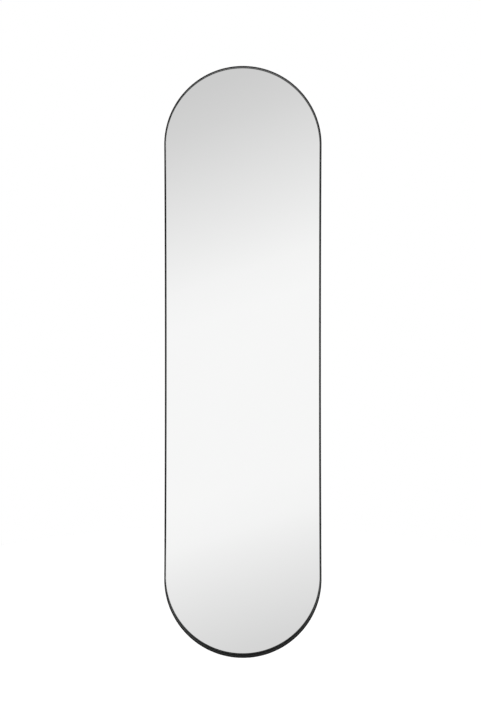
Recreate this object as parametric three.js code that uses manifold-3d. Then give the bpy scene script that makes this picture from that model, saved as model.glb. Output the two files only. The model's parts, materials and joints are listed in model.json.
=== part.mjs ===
// A tall pill-shaped mirror that pulls out of a closet on two telescopic slides and swivels to face its user.
//
// The base plate is screwed to the side panel of the closet. Two full-extension ball slides carry a channel
// post, and the mirror hangs on two vertical shoulder bolts at the front edge of that post.
//
// Lengths are in millimetres. While a piece is drawn, X points the way the mirror is pulled out, Y points up
// and Z points out of the closet's side panel, so that the mirror faces +Z. The finished group is turned to
// +Z up.

import * as THREE from 'three';
import { mergeVertices } from 'three/addons/utils/BufferGeometryUtils.js';
import Module from 'manifold-3d';

const wasm = await Module();
wasm.setup();

// Fits

const seat = 0.3; // gap between two pieces that bear on each other
const play = 0.3; // gap round a shank in its hole
const overrun = 1; // how far a cutting tool passes out of its work

// Mirror panel

const mirror = { height: 1200, width: 319, sideBow: 1.3 }; // the long sides draw in at mid-height
const bar = { depth: 30, wall: 2.5 }; // flat bar that is bent on edge to make the frame
const pane = { thickness: 4, recess: 7.3, edgeGap: 0.5 };
const tape = { thickness: 1, width: 40, length: 900, fromMiddle: 80 };
const board = { thickness: 5, edgeGap: 0.6 };
const tab = { width: 24, reach: 14, thickness: 2, corner: 4, holeRadius: 2.2, holeInset: 6, alongSide: 150 };
const stile = { width: 24, thickness: 2, corner: 4, pastBracket: 30 };

// Telescopic slides

const slide = { length: 300, height: 45, depth: 12.7, sheet: 1, bend: 0.65, spacing: 600 };
const ball = { diameter: 3.5, gap: 0.3, outerRowDepth: 5, rowStep: 3.8 };
const cage = { sheet: 0.7, length: 140, rim: 0.5, endBall: 8, webGap: 0.3, middleGap: 0.7 };
const stop = { thickness: 4, height: 32, depth: 5.4, corner: 2 };
const access = { radius: 5, fromMiddle: 110 }; // holes through which the slide's own screws are driven
const slot = { width: 5, length: 12, fromMiddle: 45 }; // upright slots for spare screws in a member's web

// Swivel

const pivot = { fromEdge: 16, behindFrame: 1, swingGap: 1.5, eyeRadius: 7.5 };
const bolt = { radius: 3, headRadius: 5, headHeight: 4, headEase: 0.8, pastNut: 2 };
const nut = { radius: 5.5, height: 5 };
const washer = { radius: 7, thickness: 1.2 };
const bush = { wall: 1.4, flangeRadius: 6.4, flange: 1.2 };
const bracket = { sheet: 2.5, bend: 3, height: 42, left: 15, right: 9, lap: 1 };
const leafHole = { first: 17, step: 16 }; // heights of a bracket's two screws above its tab

// Carriage

const post = { width: 38, depth: 12, sheet: 2, bend: 3, fromPivot: 12, pastSlide: 22, screwOffset: 9 };
const cap = { thickness: 3, plug: 9, plugWall: 2, corner: 1.5 };
const arm = { sheet: 3, bend: 4, width: 30, height: 36, lift: 1.5, pastBolt: 4, lap: 1 };
const rest = { sheet: 2, bend: 3, width: 24, foot: 22, head: 22, fromRear: 6, screwInset: 9 };
const pad = { radius: 8, thickness: 6, ease: 1 };

// Base

const plate = { thickness: 2, margin: 20, web: 80, corner: 6, inner: 20 };
const wallHole = { radius: 2.75, inset: 9, fromMiddle: 180 }; // for the screws into the closet's side panel

// Screws: the radius and rise of the head, the radius of the shank, and how far it runs past its work

const postScrew = { head: 4.5, rise: 3, shank: 2.5, past: 2 };
const leafScrew = { head: 4, rise: 2.6, shank: 2, bite: 4 };
const restScrew = { head: 4, rise: 2.4, shank: 2, past: 2 };
const slideScrew = { head: 4, rise: 1, shank: 2.5 };
const crownShares = { rim: 0.5, top: 0.72 }; // how far up a pan head the rim reaches, how wide the top is

// Angles of the raceways about their balls, in degrees counterclockwise from straight out of the side panel

const raceAngles = { outerLip: 30, middleStart: 250, middleLip: 50, innerStart: 290, innerLip: 235 };
const tabAngles = [35, 90, 145];

// Facets

const facets = {
  end: 40, side: 6, bend: 3, race: 5, hole: 10, slotEnd: 4, round: 16, hex: 6, ball: 7, ballRings: 5,
};
const ballsPerRow = 6;

// Plane geometry

const point = (x, y) => new THREE.Vector2(x, y);

function arcPoints(centre, radius, from, to, count) {
  return Array.from({ length: count + 1 }, (_, i) => {
    const angle = THREE.MathUtils.degToRad(from + ((to - from) * i) / count);
    return point(centre.x + radius * Math.cos(angle), centre.y + radius * Math.sin(angle));
  });
}

// The points of a line or outline of corners [x, y, radius]. A fillet is no longer than the sides it joins.
function rounded(corners, closed = false) {
  const count = corners.length;
  return corners.flatMap(([x, y, radius = 0], i) => {
    const corner = point(x, y);
    const atEnd = !closed && (i === 0 || i === count - 1);
    if (atEnd || radius === 0) return [corner];
    const [before, after] = [corners[(i + count - 1) % count], corners[(i + 1) % count]].map(([u, v]) =>
      point(u, v).sub(corner),
    );
    const half = Math.acos(before.dot(after) / (before.length() * after.length())) / 2;
    const reach = Math.min(radius / Math.tan(half), before.length(), after.length());
    const middle = before.clone().normalize().add(after.clone().normalize());
    const centre = middle.setLength(reach / Math.cos(half));
    const start = before.clone().setLength(reach).sub(centre);
    const turn = Math.sign(before.cross(after)) * (Math.PI - 2 * half);
    return Array.from({ length: facets.bend + 1 }, (_, k) =>
      start.clone().rotateAround(point(0, 0), (-turn * k) / facets.bend).add(centre).add(corner),
    );
  });
}

// A line and its mirror image below the X axis, as one line from the lowest point to the highest
const doubled = (half) => [...half.map(({ x, y }) => point(x, -y)).reverse(), ...half];

// The outline of a bent sheet, from the middle line of its section
function sheetShape(line, thickness) {
  const edge = (side) =>
    line.map((here, i) => {
      const into = here.clone().sub(line[Math.max(i - 1, 0)]);
      const out = line[Math.min(i + 1, line.length - 1)].clone().sub(here);
      const steps = [into, out].filter((step) => step.length() > 0);
      const normals = steps.map(({ x, y }) => point(-y, x).normalize());
      const mitre = point(0, 0).add(normals[0]).add(normals.at(-1)).normalize();
      return mitre.multiplyScalar((side * thickness) / 2 / mitre.dot(normals[0])).add(here);
    });
  return new THREE.Shape([...edge(-1), ...edge(1).reverse()]);
}

const boxOutline = (left, right, low, high, corner) =>
  rounded([[left, low, corner], [right, low, corner], [right, high, corner], [left, high, corner]], true);

// The outline that a taut band would take round the points
function hullShape(points) {
  const sorted = [...points].sort((a, b) => a.x - b.x || a.y - b.y);
  const chain = (list) => {
    const kept = [];
    for (const next of list) {
      while (kept.length > 1) {
        const [before, last] = kept.slice(-2);
        if (last.clone().sub(before).cross(next.clone().sub(last)) > 0) break;
        kept.pop();
      }
      kept.push(next);
    }
    return kept.slice(0, -1);
  };
  return new THREE.Shape([...chain(sorted), ...chain(sorted.reverse())]);
}

const roundHole = (x, y, radius, count = facets.hole) =>
  new THREE.Path(arcPoints(point(x, y), radius, 0, 360, count).slice(0, -1).reverse());

// Solids

const extruded = (shape, depth) => new THREE.ExtrudeGeometry(shape, { depth, bevelEnabled: false });

// A section drawn with its x axis out of the side panel, run back from x = 0 along the slide's length
const alongX = (shape, length) => extruded(shape, length).rotateY(-Math.PI / 2);

// A plan drawn with its y axis out of the side panel, run down from y = 0
const alongY = (shape, height) => extruded(shape, height).rotateX(Math.PI / 2);

function solidOf(geometry) {
  const bare = geometry.clone();
  bare.deleteAttribute('normal');
  bare.deleteAttribute('uv');
  const merged = mergeVertices(bare);
  return new wasm.Manifold(
    new wasm.Mesh({
      numProp: 3,
      vertProperties: new Float32Array(merged.attributes.position.array),
      triVerts: new Uint32Array(merged.index.array),
    }),
  );
}

function geometryOf(solid) {
  const { vertProperties, triVerts } = solid.getMesh();
  const geometry = new THREE.BufferGeometry();
  geometry.setAttribute('position', new THREE.BufferAttribute(vertProperties, 3));
  geometry.setIndex(new THREE.BufferAttribute(triVerts, 1));
  const faceted = geometry.toNonIndexed();
  faceted.computeVertexNormals();
  return faceted;
}

const joined = (...parts) => geometryOf(parts.map(solidOf).reduce((whole, part) => whole.add(part)));
const cut = (...parts) => geometryOf(parts.map(solidOf).reduce((work, tool) => work.subtract(tool)));

// A round tool from one height to another, standing on the Z axis or on the Y axis
const drillZ = (radius, low, high, x = 0, y = 0) =>
  new THREE.CylinderGeometry(radius, radius, high - low, facets.hole)
    .rotateX(Math.PI / 2)
    .translate(x, y, (low + high) / 2);
const drillY = (radius, low, high, x, z) =>
  new THREE.CylinderGeometry(radius, radius, high - low, facets.round).translate(x, (low + high) / 2, z);

const turned = (profile, count = facets.round) =>
  new THREE.LatheGeometry(profile.map(([x, y]) => point(x, y)), count);

const turnedRing = (inner, outer, low, high) =>
  turned([[inner, low], [outer, low], [outer, high], [inner, high], [inner, low]]);

// Finishes and placing

const finishes = {
  blackCoat: { color: 0x0c0c0d, roughness: 0.42, metalness: 0 },
  silvered: { color: 0xe9ebec, roughness: 0.02, metalness: 1 },
  fibreboard: { color: 0x2a2622, roughness: 0.85, metalness: 0 },
  foam: { color: 0xd9d8d2, roughness: 0.9, metalness: 0 },
  zinc: { color: 0xb4b8bc, roughness: 0.38, metalness: 0.9 },
  steel: { color: 0x8e9194, roughness: 0.3, metalness: 1 },
  nylon: { color: 0xe4e2da, roughness: 0.55, metalness: 0 },
  plastic: { color: 0x141414, roughness: 0.6, metalness: 0 },
  rubber: { color: 0x101010, roughness: 0.85, metalness: 0 },
};

function place(group, name, finish, geometry, x = 0, y = 0, z = 0) {
  const mesh = new THREE.Mesh(geometry, new THREE.MeshStandardMaterial(finishes[finish]));
  mesh.name = name;
  mesh.position.set(x, y, z);
  group.add(mesh);
  return mesh;
}

// Where the layers lie, measured out of the closet's side panel

const slideBack = plate.thickness + seat;
const slideFace = slideBack + slide.depth;
const postBack = slideFace + seat;
const armBack = postBack + post.sheet + seat;
const pivotX = mirror.width / 2 - pivot.fromEdge;
const swing = Math.hypot(pivot.fromEdge, pivot.behindFrame); // radius swept by the frame's back corner
const pivotZ = slideFace + pivot.swingGap + swing;
const frameBack = pivotZ + pivot.behindFrame;
const frameFace = frameBack + bar.depth;
const paneBack = frameFace - pane.recess - pane.thickness;
const tapeBack = paneBack - seat - tape.thickness;
const boardBack = tapeBack - seat - board.thickness;
const tabBack = boardBack - seat - tab.thickness;
const stileBack = boardBack - seat - stile.thickness;
const leafBack = stileBack - seat - bracket.sheet;

// Where the swivel's pieces lie above the middle of their slide

const armTop = arm.height / 2 + arm.sheet;
const washerLow = armTop + seat;
const bracketLow = washerLow + washer.thickness + seat;
const bracketTop = bracketLow + bracket.sheet;
const flangeLow = bracketTop + seat;
const headLow = flangeLow + bush.flange + seat;
const nutTop = arm.height / 2 - seat;
const boreRadius = bolt.radius + play;
const bushRadius = boreRadius + bush.wall;
const postX = pivotX - post.fromPivot - post.width / 2;

const rungs = [
  { rung: 'upper', height: slide.spacing / 2 },
  { rung: 'lower', height: -slide.spacing / 2 },
];

// Mirror panel

// The pill, drawn in by an inset from the frame's outside. Its long sides bow in towards mid-height.
const endCentre = (mirror.height - mirror.width) / 2;
const sideX = (y, inset) => mirror.width / 2 - inset - mirror.sideBow * (1 - (y / endCentre) ** 2);

function pillPoints(inset) {
  const radius = mirror.width / 2 - inset;
  const downShares = Array.from({ length: facets.side - 1 }, (_, i) => 1 - (2 * (i + 1)) / facets.side);
  const heights = downShares.map((share) => endCentre * share);
  return [
    ...arcPoints(point(0, endCentre), radius, 0, 180, facets.end),
    ...heights.map((y) => point(-sideX(y, inset), y)),
    ...arcPoints(point(0, -endCentre), radius, 180, 360, facets.end),
    ...heights.map((y) => point(sideX(y, inset), -y)),
  ];
}

// A tab starts inside the wall that it is welded to and points into the ring
function weldedTab(x, y, angle) {
  const start = -bar.wall / 2;
  const outline = rounded(
    [
      [start, -tab.width / 2],
      [tab.reach, -tab.width / 2, tab.corner],
      [tab.reach, tab.width / 2, tab.corner],
      [start, tab.width / 2],
    ],
    true,
  );
  const shape = new THREE.Shape(outline);
  shape.holes.push(roundHole(tab.reach - tab.holeInset, 0, tab.holeRadius));
  const flat = extruded(shape, tab.thickness).rotateZ(THREE.MathUtils.degToRad(angle));
  return flat.translate(x, y, tabBack - frameBack);
}

function frameGeometry() {
  const ring = new THREE.Shape(pillPoints(0));
  ring.holes.push(new THREE.Path(pillPoints(bar.wall).reverse()));
  const wallRadius = mirror.width / 2 - bar.wall;
  const endTabs = tabAngles.flatMap((angle) => {
    const lean = THREE.MathUtils.degToRad(angle);
    const [x, y] = [wallRadius * Math.cos(lean), endCentre + wallRadius * Math.sin(lean)];
    return [weldedTab(x, y, angle + 180), weldedTab(x, -y, 180 - angle)];
  });
  const sideTabs = [-tab.alongSide, tab.alongSide].map((y) => weldedTab(-sideX(y, bar.wall), y, 0));
  return joined(extruded(ring, bar.depth), ...endTabs, ...sideTabs);
}

// A plate that fits the frame with a gap of inset all round
const pillPlate = (inset, thickness) => extruded(new THREE.Shape(pillPoints(bar.wall + inset)), thickness);

const leafMiddle = pivotX + (bracket.right - bracket.left) / 2;
const leafHoles = [leafHole.first, leafHole.first + leafHole.step].map((rise) => bracketLow + rise);
const leafDrills = (radius, low, high) =>
  rungs.flatMap(({ height }) => leafHoles.map((y) => drillZ(radius, low, high, leafMiddle, height + y)));

const boardGeometry = () =>
  cut(
    pillPlate(board.edgeGap, board.thickness),
    ...leafDrills(leafScrew.shank + play, -overrun, board.thickness + overrun),
  );

function stileGeometry() {
  const top = slide.spacing / 2 + bracketLow + bracket.height + stile.pastBracket;
  const bottom = -slide.spacing / 2 - stile.pastBracket;
  const [left, right] = [leafMiddle - stile.width / 2, leafMiddle + stile.width / 2];
  return cut(
    extruded(new THREE.Shape(boxOutline(left, right, bottom, top, stile.corner)), stile.thickness),
    ...leafDrills(leafScrew.shank + play, -overrun, stile.thickness + overrun),
  );
}

// Both hinge plates are a bent strip that grows into a tongue with a round eye about the bolt
function tongue(root, thickness) {
  const eye = arcPoints(point(pivotX, pivotZ), pivot.eyeRadius, 0, 360, facets.round).slice(0, -1);
  return alongY(hullShape([...eye, ...root]), thickness);
}

function pivotBracketGeometry() {
  const [left, right] = [pivotX - bracket.left, pivotX + bracket.right];
  const middle = leafBack + bracket.sheet / 2;
  const tabMiddle = bracketLow + bracket.sheet / 2;
  const tabEnd = leafBack - bracket.bend;
  const line = rounded([
    [middle, bracketLow + bracket.height],
    [middle, tabMiddle, bracket.bend],
    [tabEnd, tabMiddle],
  ]);
  const strip = alongX(sheetShape(line, bracket.sheet), right - left).translate(right, 0, 0);
  const root = [left, right].map((x) => point(x, tabEnd + bracket.lap));
  const eyeTongue = tongue(root, bracket.sheet).translate(0, bracketTop, 0);
  return cut(
    joined(strip, eyeTongue),
    drillY(bushRadius + play, bracketLow - overrun, bracketTop + overrun, pivotX, pivotZ),
    ...leafHoles.map((y) => drillZ(leafScrew.shank + play, leafBack - overrun, stileBack, leafMiddle, y)),
  );
}

const bushGeometry = () =>
  turned([
    [boreRadius, bracketLow],
    [bushRadius, bracketLow],
    [bushRadius, flangeLow],
    [bush.flangeRadius, flangeLow],
    [bush.flangeRadius, flangeLow + bush.flange],
    [boreRadius, flangeLow + bush.flange],
    [boreRadius, bracketLow],
  ]);

// Screws. The head bears on z = 0 and the shank runs to negative z.

const panScrew = ({ head, rise, shank }, length) =>
  turned([
    [0, -length],
    [shank, -length],
    [shank, 0],
    [head, 0],
    [head, rise * crownShares.rim],
    [head * crownShares.top, rise],
    [0, rise],
  ], facets.hole).rotateX(Math.PI / 2);

const countersunkScrew = ({ head, rise, shank }, length) =>
  turned([
    [0, -length],
    [shank, -length],
    [shank, -rise],
    [head, 0],
    [0, 0],
  ], facets.hole).rotateX(Math.PI / 2);

// Telescopic slides. A section's x is its depth from the back of the slide, its y the height from the middle.

const race = ball.diameter / 2 + ball.gap + slide.sheet / 2; // raceway radius at the middle of the sheet
const outerBall = point(ball.outerRowDepth, slide.height / 2 - slide.sheet / 2 - race);
const rowDrop = Math.sqrt((2 * race) ** 2 - ball.rowStep ** 2); // where the two raceways run into each other
const innerBall = point(outerBall.x + ball.rowStep, outerBall.y - rowDrop);
const crossing = THREE.MathUtils.radToDeg(innerBall.clone().sub(outerBall).angle());
const middleWeb = slide.sheet + cage.webGap + cage.sheet + cage.middleGap + slide.sheet / 2;
const innerWeb = slide.depth - slide.sheet / 2;

const raceArc = (centre, from, to) => arcPoints(centre, race, from, to, facets.race);

// The web's corner that runs into a raceway along the raceway's own tangent
function cornerInto(start, angle, web) {
  const lean = THREE.MathUtils.degToRad(angle + 90);
  return [web, start.y + (web - start.x) * Math.tan(lean), slide.bend];
}

function outerSection() {
  const flange = outerBall.y + race;
  const web = rounded([[slide.sheet / 2, 0], [slide.sheet / 2, flange, slide.bend], [outerBall.x, flange]]);
  return doubled([...web.slice(1, -1), ...raceArc(outerBall, 90, raceAngles.outerLip)]);
}

function middleSection() {
  const dish = raceArc(outerBall, raceAngles.middleStart, crossing);
  const dome = raceArc(innerBall, crossing - 180, raceAngles.middleLip);
  const corner = cornerInto(dish[0], raceAngles.middleStart, middleWeb);
  const web = rounded([[middleWeb, 0], corner, [dish[0].x, dish[0].y]]);
  return doubled([...web.slice(1, -1), ...dish, ...dome.slice(1)]);
}

function innerSection() {
  const dish = raceArc(innerBall, raceAngles.innerStart, raceAngles.innerLip);
  const corner = cornerInto(dish[0], raceAngles.innerStart, innerWeb);
  const web = rounded([[innerWeb, 0], corner, [dish[0].x, dish[0].y]]);
  return doubled([...web.slice(1, -1), ...dish]);
}

// The cages hold the balls in two strips, one above and one below, that a web joins
const cageReach = ball.diameter / 2 + cage.rim;

function outerCageSection() {
  const web = slide.sheet + cage.webGap + cage.sheet / 2;
  const strip = rounded([[web, 0], [web, outerBall.y, slide.bend], [outerBall.x + cageReach, outerBall.y]]);
  return doubled(strip.slice(1));
}

function innerCageSection() {
  const web = middleWeb + slide.sheet / 2 + cage.webGap + cage.sheet / 2;
  const slope = Math.tan(THREE.MathUtils.degToRad(raceAngles.innerStart - 270));
  const heightAt = (x) => innerBall.y + (x - innerBall.x) * slope;
  const end = innerBall.x + cageReach;
  return doubled(rounded([[web, 0], [web, heightAt(web), slide.bend], [end, heightAt(end)]]).slice(1));
}

// Every runner starts at its front end, flush with the front of the plate, and runs back
const slideFront = slide.length / 2;
const runnerLength = slide.length - stop.thickness - seat;
const cageFront = slideFront - (runnerLength - cage.length) / 2; // centred on the runners when they are in
const runner = (section, sheet, length) => alongX(sheetShape(section, sheet), length);

function cageGeometry(section, row) {
  const pitch = (cage.length - 2 * cage.endBall) / (ballsPerRow - 1);
  const balls = Array.from({ length: ballsPerRow }, (_, i) => -cage.endBall - i * pitch).flatMap((x) =>
    [row.y, -row.y].map((y) =>
      new THREE.SphereGeometry(ball.diameter / 2, facets.ball, facets.ballRings).translate(x, y, row.x),
    ),
  );
  return joined(runner(section, cage.sheet, cage.length), ...balls);
}

const accessDrills = (depth) =>
  [-access.fromMiddle, access.fromMiddle].map((x) =>
    drillZ(access.radius, depth - slide.sheet, depth + slide.sheet, x - slideFront),
  );

// Tools for the slots in a web whose middle lies at a depth
function slotTools(depth) {
  const end = (slot.length - slot.width) / 2;
  const outline = new THREE.Shape([
    ...arcPoints(point(0, end), slot.width / 2, 0, 180, facets.slotEnd),
    ...arcPoints(point(0, -end), slot.width / 2, 180, 360, facets.slotEnd),
  ]);
  return [-slot.fromMiddle, slot.fromMiddle].map((x) =>
    extruded(outline, 2 * slide.sheet).translate(x - slideFront, 0, depth - slide.sheet),
  );
}

function outerMemberGeometry() {
  const { head, rise, shank } = slideScrew;
  const sinks = [-access.fromMiddle, access.fromMiddle].map((x) =>
    new THREE.CylinderGeometry(head + play, shank + play, rise, facets.hole)
      .rotateX(Math.PI / 2)
      .translate(x - slideFront, 0, slide.sheet - rise / 2),
  );
  const holes = [-access.fromMiddle, access.fromMiddle].map((x) =>
    drillZ(shank + play, -overrun, slide.sheet + overrun, x - slideFront),
  );
  const slots = slotTools(slide.sheet / 2);
  return cut(runner(outerSection(), slide.sheet, slide.length), ...sinks, ...holes, ...slots);
}

const middleMemberGeometry = () =>
  cut(runner(middleSection(), slide.sheet, runnerLength), ...accessDrills(middleWeb));

const postScrewPlaces = [postX - post.screwOffset, postX + post.screwOffset];
const restFoot = slideFront - runnerLength + rest.fromRear;
const restScrewX = restFoot + rest.screwInset;

function innerMemberGeometry() {
  const [low, high] = [innerWeb - slide.sheet, innerWeb + slide.sheet];
  return cut(
    runner(innerSection(), slide.sheet, runnerLength),
    ...postScrewPlaces.map((x) => drillZ(postScrew.shank + play, low, high, x - slideFront)),
    drillZ(restScrew.shank + play, low, high, restScrewX - slideFront),
    ...slotTools(innerWeb),
  );
}

function rearStopGeometry() {
  const low = slide.sheet + seat;
  const block = boxOutline(low, low + stop.depth, -stop.height / 2, stop.height / 2, stop.corner);
  return alongX(new THREE.Shape(block), stop.thickness);
}

// Carriage

const postHeight = slide.spacing + slide.height + 2 * post.pastSlide;

function postGeometry() {
  const [left, right] = [-(post.width - post.sheet) / 2, (post.width - post.sheet) / 2];
  const [web, lip] = [post.sheet / 2, post.depth];
  const line = rounded([[left, lip], [left, web, post.bend], [right, web, post.bend], [right, lip]]);
  const channel = alongY(sheetShape(line, post.sheet), postHeight).translate(0, postHeight / 2, 0);
  const holes = rungs.flatMap(({ height }) =>
    [-post.screwOffset, post.screwOffset].map((x) =>
      drillZ(postScrew.shank + play, -overrun, post.sheet + overrun, x, height),
    ),
  );
  return cut(channel, ...holes);
}

// The cap lies on the post's end, and its hollow plug stands in the channel below
function postCapGeometry() {
  const lid = new THREE.Shape(boxOutline(-post.width / 2, post.width / 2, 0, post.depth, cap.corner));
  const [inside, low] = [post.width / 2 - post.sheet - seat, post.sheet + seat];
  const plug = new THREE.Shape(boxOutline(-inside, inside, low, post.depth, cap.corner));
  const hollow = inside - cap.plugWall;
  const inner = boxOutline(-hollow, hollow, low + cap.plugWall, post.depth - cap.plugWall, cap.corner);
  plug.holes.push(new THREE.Path(inner.reverse()));
  return joined(
    alongY(lid, cap.thickness).translate(0, cap.thickness + seat, 0),
    alongY(plug, cap.plug + seat + cap.thickness / 2).translate(0, seat + cap.thickness / 2, 0),
  );
}

function pivotArmGeometry() {
  const right = postX + arm.width / 2;
  const middle = armBack + arm.sheet / 2;
  const tabMiddle = armTop - arm.sheet / 2;
  const [rootLow, rootHigh] = [postBack + post.depth + arm.lift, pivotZ + arm.pastBolt];
  const line = rounded([
    [middle, -arm.height / 2],
    [middle, tabMiddle, arm.bend],
    [rootHigh, tabMiddle],
  ]);
  const strip = alongX(sheetShape(line, arm.sheet), arm.width).translate(right, 0, 0);
  const root = [rootLow, rootHigh].map((z) => point(right - arm.lap, z));
  return cut(
    joined(strip, tongue(root, arm.sheet).translate(0, armTop, 0)),
    drillY(boreRadius, armTop - arm.sheet - overrun, armTop + overrun, pivotX, pivotZ),
    ...postScrewPlaces.map((x) =>
      drillZ(postScrew.shank + play, armBack - overrun, armBack + arm.sheet + overrun, x),
    ),
  );
}

function boltGeometry() {
  const tip = nutTop - nut.height - bolt.pastNut;
  const top = headLow + bolt.headHeight;
  return turned([
    [0, tip],
    [bolt.radius, tip],
    [bolt.radius, headLow],
    [bolt.headRadius, headLow],
    [bolt.headRadius, top - bolt.headEase],
    [bolt.headRadius - bolt.headEase, top],
    [0, top],
  ]);
}

function nutGeometry() {
  const hexagon = new THREE.Shape(arcPoints(point(0, 0), nut.radius, 0, 360, facets.hex).slice(0, -1));
  hexagon.holes.push(roundHole(0, 0, boreRadius, facets.round));
  return alongY(hexagon, nut.height).translate(0, nutTop, 0);
}

// The rest bracket stands on the inner member and holds its pad against the back of the board
const padTop = boardBack - seat;
const restTop = padTop - pad.thickness - seat;
const restHeadX = restFoot + rest.foot - rest.sheet + rest.head / 2;

function restBracketGeometry() {
  const [footX, riserX] = [restFoot, restFoot + rest.foot - rest.sheet / 2];
  const [footZ, headZ] = [postBack + rest.sheet / 2, restTop - rest.sheet / 2];
  const line = rounded([
    [footX, footZ],
    [riserX, footZ, rest.bend],
    [riserX, headZ, rest.bend],
    [riserX + rest.head, headZ],
  ]);
  const strip = alongY(sheetShape(line, rest.sheet), rest.width).translate(0, rest.width / 2, 0);
  const drill = drillZ(restScrew.shank + play, -overrun, rest.sheet + overrun, restScrewX);
  return cut(strip, drill.translate(0, 0, postBack));
}

const padGeometry = () =>
  turned([
    [0, 0],
    [pad.radius, 0],
    [pad.radius, pad.thickness - pad.ease],
    [pad.radius - pad.ease, pad.thickness],
    [0, pad.thickness],
  ]).rotateX(Math.PI / 2);

// Base

// Two bars behind the slides, joined by a web, drawn as one corner quarter and its mirror images
function basePlateGeometry() {
  const [half, barHalf] = [slide.length / 2, slide.height / 2 + plate.margin];
  const [high, low] = [slide.spacing / 2 + barHalf, slide.spacing / 2 - barHalf];
  const quarter = [
    [plate.web / 2, low, plate.inner],
    [half, low, plate.corner],
    [half, high, plate.corner],
  ];
  const flipped = (across, up) => quarter.map(([x, y, radius]) => [x * across, y * up, radius]);
  const outline = [...quarter, ...flipped(-1, 1).reverse(), ...flipped(-1, -1), ...flipped(1, -1).reverse()];
  const shape = new THREE.Shape(rounded(outline, true));
  const drill = (xs, ys, radius) =>
    xs.forEach((x) => ys.forEach((y) => shape.holes.push(roundHole(x, y, radius))));
  const [edge, rise] = [half - wallHole.inset, barHalf - wallHole.inset];
  rungs.forEach(({ height }) => {
    drill([-edge, edge], [height - rise, height + rise], wallHole.radius);
    drill([-access.fromMiddle, access.fromMiddle], [height], slideScrew.shank + play);
  });
  drill([0], [-wallHole.fromMiddle, wallHole.fromMiddle], wallHole.radius);
  return extruded(shape, plate.thickness);
}

// Assembly

const closetMirror = new THREE.Group();
closetMirror.rotation.x = Math.PI / 2;

function fixedBase() {
  const group = new THREE.Group();
  const stopX = stop.thickness - slideFront;
  const screwLength = slide.sheet + plate.thickness; // ends a seat short of the side panel
  place(group, 'base_plate', 'blackCoat', basePlateGeometry());
  rungs.forEach(({ rung, height }) => {
    place(group, `${rung}_outer_member`, 'zinc', outerMemberGeometry(), slideFront, height, slideBack);
    place(group, `${rung}_rear_stop`, 'plastic', rearStopGeometry(), stopX, height, slideBack);
    const screw = countersunkScrew(slideScrew, screwLength);
    ['rear', 'front'].forEach((end, i) => {
      const x = (2 * i - 1) * access.fromMiddle;
      place(group, `${rung}_${end}_slide_screw`, 'steel', screw, x, height, slideBack + slide.sheet);
    });
  });
  return group;
}

function slideRunners() {
  const group = new THREE.Group();
  rungs.forEach(({ rung, height }) => {
    const outerCage = cageGeometry(outerCageSection(), outerBall);
    const innerCage = cageGeometry(innerCageSection(), innerBall);
    place(group, `${rung}_outer_ball_cage`, 'steel', outerCage, cageFront, height, slideBack);
    place(group, `${rung}_middle_member`, 'zinc', middleMemberGeometry(), slideFront, height, slideBack);
    place(group, `${rung}_inner_ball_cage`, 'steel', innerCage, cageFront, height, slideBack);
    place(group, `${rung}_inner_member`, 'zinc', innerMemberGeometry(), slideFront, height, slideBack);
  });
  return group;
}

function carriage() {
  const group = new THREE.Group();
  place(group, 'carriage_post', 'blackCoat', postGeometry(), postX, 0, postBack);
  [['top', 1, 0], ['bottom', -1, Math.PI]].forEach(([end, side, turn]) => {
    const y = (side * postHeight) / 2;
    place(group, `${end}_post_cap`, 'plastic', postCapGeometry(), postX, y, postBack).rotation.z = turn;
  });
  const [armFace, restFace] = [armBack + arm.sheet + seat, postBack + rest.sheet + seat];
  const armScrewLength = armFace - slideFace + slide.sheet + postScrew.past;
  const restScrewLength = restFace - slideFace + slide.sheet + restScrew.past;
  rungs.forEach(({ rung, height }) => {
    place(group, `${rung}_pivot_arm`, 'blackCoat', pivotArmGeometry(), 0, height);
    ['rear', 'front'].forEach((end, i) => {
      const screw = panScrew(postScrew, armScrewLength);
      place(group, `${rung}_${end}_post_screw`, 'steel', screw, postScrewPlaces[i], height, armFace);
    });
    place(group, `${rung}_pivot_bolt`, 'steel', boltGeometry(), pivotX, height, pivotZ);
    place(group, `${rung}_pivot_nut`, 'steel', nutGeometry(), pivotX, height, pivotZ);
    const ring = turnedRing(boreRadius, washer.radius, washerLow, washerLow + washer.thickness);
    place(group, `${rung}_friction_washer`, 'nylon', ring, pivotX, height, pivotZ);
    place(group, `${rung}_rest_bracket`, 'blackCoat', restBracketGeometry(), 0, height);
    place(group, `${rung}_rest_pad`, 'rubber', padGeometry(), restHeadX, height, restTop + seat);
    const footScrew = panScrew(restScrew, restScrewLength);
    place(group, `${rung}_rest_screw`, 'steel', footScrew, restScrewX, height, restFace);
  });
  return group;
}

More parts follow.
